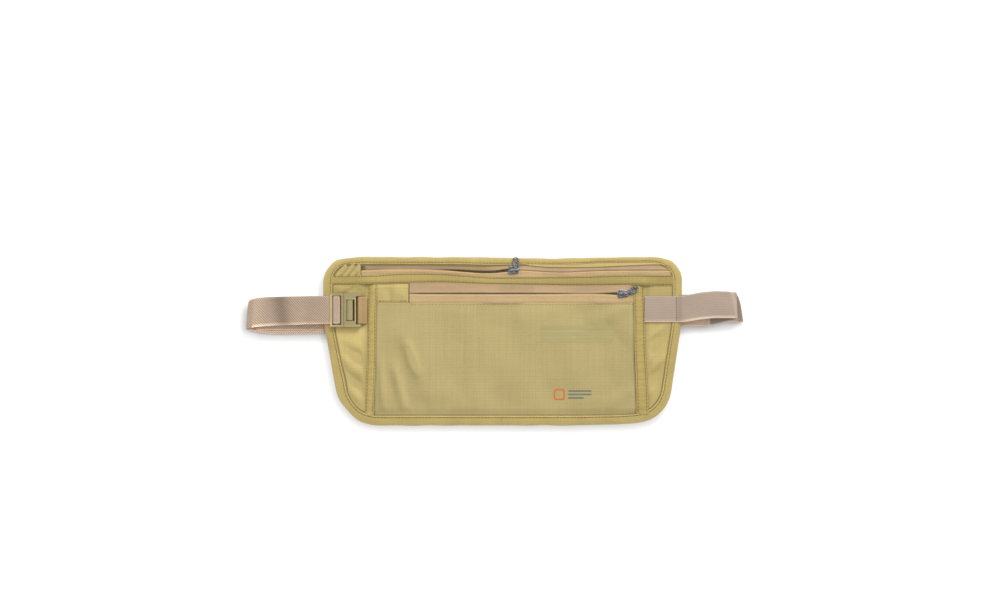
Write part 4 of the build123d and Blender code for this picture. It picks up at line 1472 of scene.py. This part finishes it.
def make_elastic():
    elastic = ribbon("belt_elastic_strap", ELASTIC_PATH, 1.0, ELASTIC, "elastic", step=1.0,
                     wave=elastic_wave, shade=elastic_shade, shear=elastic_shear)
    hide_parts("belt_elastic")
    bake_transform(elastic)


def stitch_belt_ends():
    line = track(136.9, 12.24, np.linspace(-8.8, 10.4, 12))
    edge = stitches("stitch_elastic_edge", [line], radius=0.36, pitch=2.1, length=1.6)
    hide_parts("elastic_bar_tack")
    z = np.linspace(-12.2, 8.6, 30)
    rows = [track(x, depth, z) for depth in (4.42, 3.18) for x in (159.4, 161.0)]
    tack = stitches("stitch_belt_join", rows, radius=0.2, pitch=0.8, length=0.75,
                    body="buckle_latch_half", material=TACK_THREAD)
    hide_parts("belt_join_tacks")


def make_anchor():
    """The tape that ties the buckle to the left hem."""
    anchor = ribbon("anchor_tape_loop", ANCHOR_PATH, 0.7, ANCHOR, "anchor_tape", step=0.35)
    place(anchor, "buckle_anchor_loop")


# ---------------------------------------------------------------- the CAD's hard parts
# Node: material, edge radius in mm
HARD_PARTS = {
    "buckle_female": (PLASTIC, 0.16),
    "buckle_male": (PLASTIC, 0.28),
    "buckle_tongue": (PAD, 0.08),
    "top_slider_body": (METAL, 0.12),
    "top_slider_crown": (METAL, 0.12),
    "top_pull_tab": (METAL, 0.15),
    "front_slider_body": (METAL, 0.12),
    "front_slider_crown": (METAL, 0.12),
    "front_pull_tab": (METAL, 0.15),
    "top_zip_stops": (METAL, 0.1),
    "front_zip_stops": (METAL, 0.1),
    "rfid_liner_rear": (LINER, 0.0),
}


def finish_hard_parts():
    for node, (material, radius) in HARD_PARTS.items():
        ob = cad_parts[node]
        if not ob.material_slots:
            ob.data.materials.append(material)
        for slot in ob.material_slots:
            slot.link = "OBJECT"
            slot.material = material
        if radius:
            bevel = ob.modifiers.new("edge", "BEVEL")
            bevel.width = radius * MM
            bevel.segments = 3
            bevel.limit_method = "ANGLE"
            bevel.angle_limit = math.radians(35)
            bevel.harden_normals = False


# ---------------------------------------------------------------- studio
def backdrop_material():
    material = bpy.data.materials.new("pale_surface")
    material.use_nodes = True
    tree = material.node_tree
    tree.nodes.clear()
    # A soft painted shadow beside whatever lies on it, on the side away from the light
    lean = add_node(tree, "CombineXYZ", {0: 0.46, 1: -0.42, 2: 0.78})
    occlusion = add_node(
        tree, "AmbientOcclusion", {"Distance": 0.0095, "Normal": lean.outputs[0]}, samples=12
    )
    rim = add_node(tree, "MapRange", {
        "Value": occlusion.outputs["AO"],
        "From Min": 0.35, "From Max": 0.97, "To Min": 0.27, "To Max": 1.0,
    })

    def dimmed(colour):
        inputs = {0: colour, "Scale": rim.outputs[0]}
        return add_node(tree, "VectorMath", inputs, operation="SCALE").outputs[0]

    diffuse = add_node(tree, "BsdfDiffuse", {0: dimmed((0.40, 0.40, 0.40))})
    glow = add_node(tree, "Emission", {0: dimmed((0.74, 0.74, 0.743)), 1: 1.0})
    lit = add_node(tree, "AddShader", {0: diffuse.outputs[0], 1: glow.outputs[0]})
    # It vanishes when the camera is behind it, so that the rear is lit as the front is
    eye = add_node(tree, "VectorTransform", {0: (0, 0, 0)}, vector_type="POINT",
                   convert_from="CAMERA", convert_to="WORLD")
    eye_y = add_node(tree, "SeparateXYZ", {0: eye.outputs[0]}).outputs[1]
    behind = add_node(tree, "Math", {0: eye_y, 1: -0.05}, operation="GREATER_THAN")
    clear = add_node(tree, "BsdfTransparent", {})
    mix = add_node(
        tree, "MixShader", {0: behind.outputs[0], 1: lit.outputs[0], 2: clear.outputs[0]}
    )
    add_node(tree, "OutputMaterial", {0: mix.outputs[0]})
    return material


def make_backdrop(scene, half_width=3.0, y=0.0006):
    mesh = bpy.data.meshes.new("pale_backdrop")
    signs = ((-1, -1), (1, -1), (1, 1), (-1, 1))
    corners = [(x * half_width, y, z * half_width) for x, z in signs]
    mesh.from_pydata(corners, [], [(0, 1, 2, 3)])
    backdrop = bpy.data.objects.new("pale_backdrop", mesh)
    scene.collection.objects.link(backdrop)
    mesh.materials.append(backdrop_material())


def set_world(scene):
    """White surroundings, brighter to the camera than to the objects."""
    world = scene.world or bpy.data.worlds.new("studio")
    scene.world = world
    world.use_nodes = True
    tree = world.node_tree
    background = tree.nodes.get("Background") or tree.nodes.new("ShaderNodeBackground")
    background.inputs[0].default_value = (1.0, 1.0, 1.0, 1)
    seen = add_node(tree, "LightPath", {}).outputs["Is Camera Ray"]
    strength = add_node(tree, "MapRange", {"Value": seen, "To Min": 0.66, "To Max": 0.92})
    tree.links.new(strength.outputs[0], background.inputs[1])


def area_light(scene, name, place, size, watts, colour=(1, 1, 1)):
    """A square light, aimed at the origin."""
    light = bpy.data.lights.new(name, "AREA")
    light.energy = watts
    light.size = size
    light.color = colour
    ob = bpy.data.objects.new(name, light)
    scene.collection.objects.link(ob)
    ob.location = place
    ob.rotation_euler = (-Vector(place)).to_track_quat("-Z", "Y").to_euler()


def make_camera(scene, distance=3.0, view_width=0.7795276):
    """Looks straight at the front; view_width is what it takes in at y = 0, in metres."""
    camera = bpy.data.cameras.new("camera")
    ob = bpy.data.objects.new("camera", camera)
    scene.collection.objects.link(ob)
    camera.sensor_width = 36
    camera.lens = camera.sensor_width * distance / view_width
    camera.clip_end = 50
    ob.location = (-0.005511811, -distance, 0.008031496)
    ob.rotation_euler = (math.pi / 2, 0, 0)
    scene.camera = ob


def make_studio():
    scene = bpy.context.scene
    make_backdrop(scene)
    set_world(scene)
    area_light(scene, "key", (0.60, -1.2, 1.3), size=0.7, watts=21, colour=(1, 0.99, 0.97))
    area_light(scene, "fill", (-1.3, -1.5, 0.3), size=1.2, watts=7, colour=(0.97, 0.98, 1))
    area_light(scene, "behind", (-0.6, 1.6, 0.9), size=1.2, watts=20)
    make_camera(scene)
    scene.view_settings.view_transform = "Standard"
    scene.view_settings.look = "None"


# ---------------------------------------------------------------- build
make_back()
make_wings()
# The outline's travel needs no closing length: the last ring joins the first
make_binding()
stitch_binding()
make_divider()
make_hem("left", LEFT_HEM, -1)
make_hem("right", RIGHT_HEM, 1)
make_front_garage()
make_top_garage()
settled_x, settled_z, settled_relief = settle_pocket()
SETTLED = (settled_x, settled_z, soften(settled_relief))
make_pocket()
make_prints()
make_zips()
make_facing()
make_belt()
make_elastic()
stitch_belt_ends()
make_anchor()
finish_hard_parts()
make_studio()
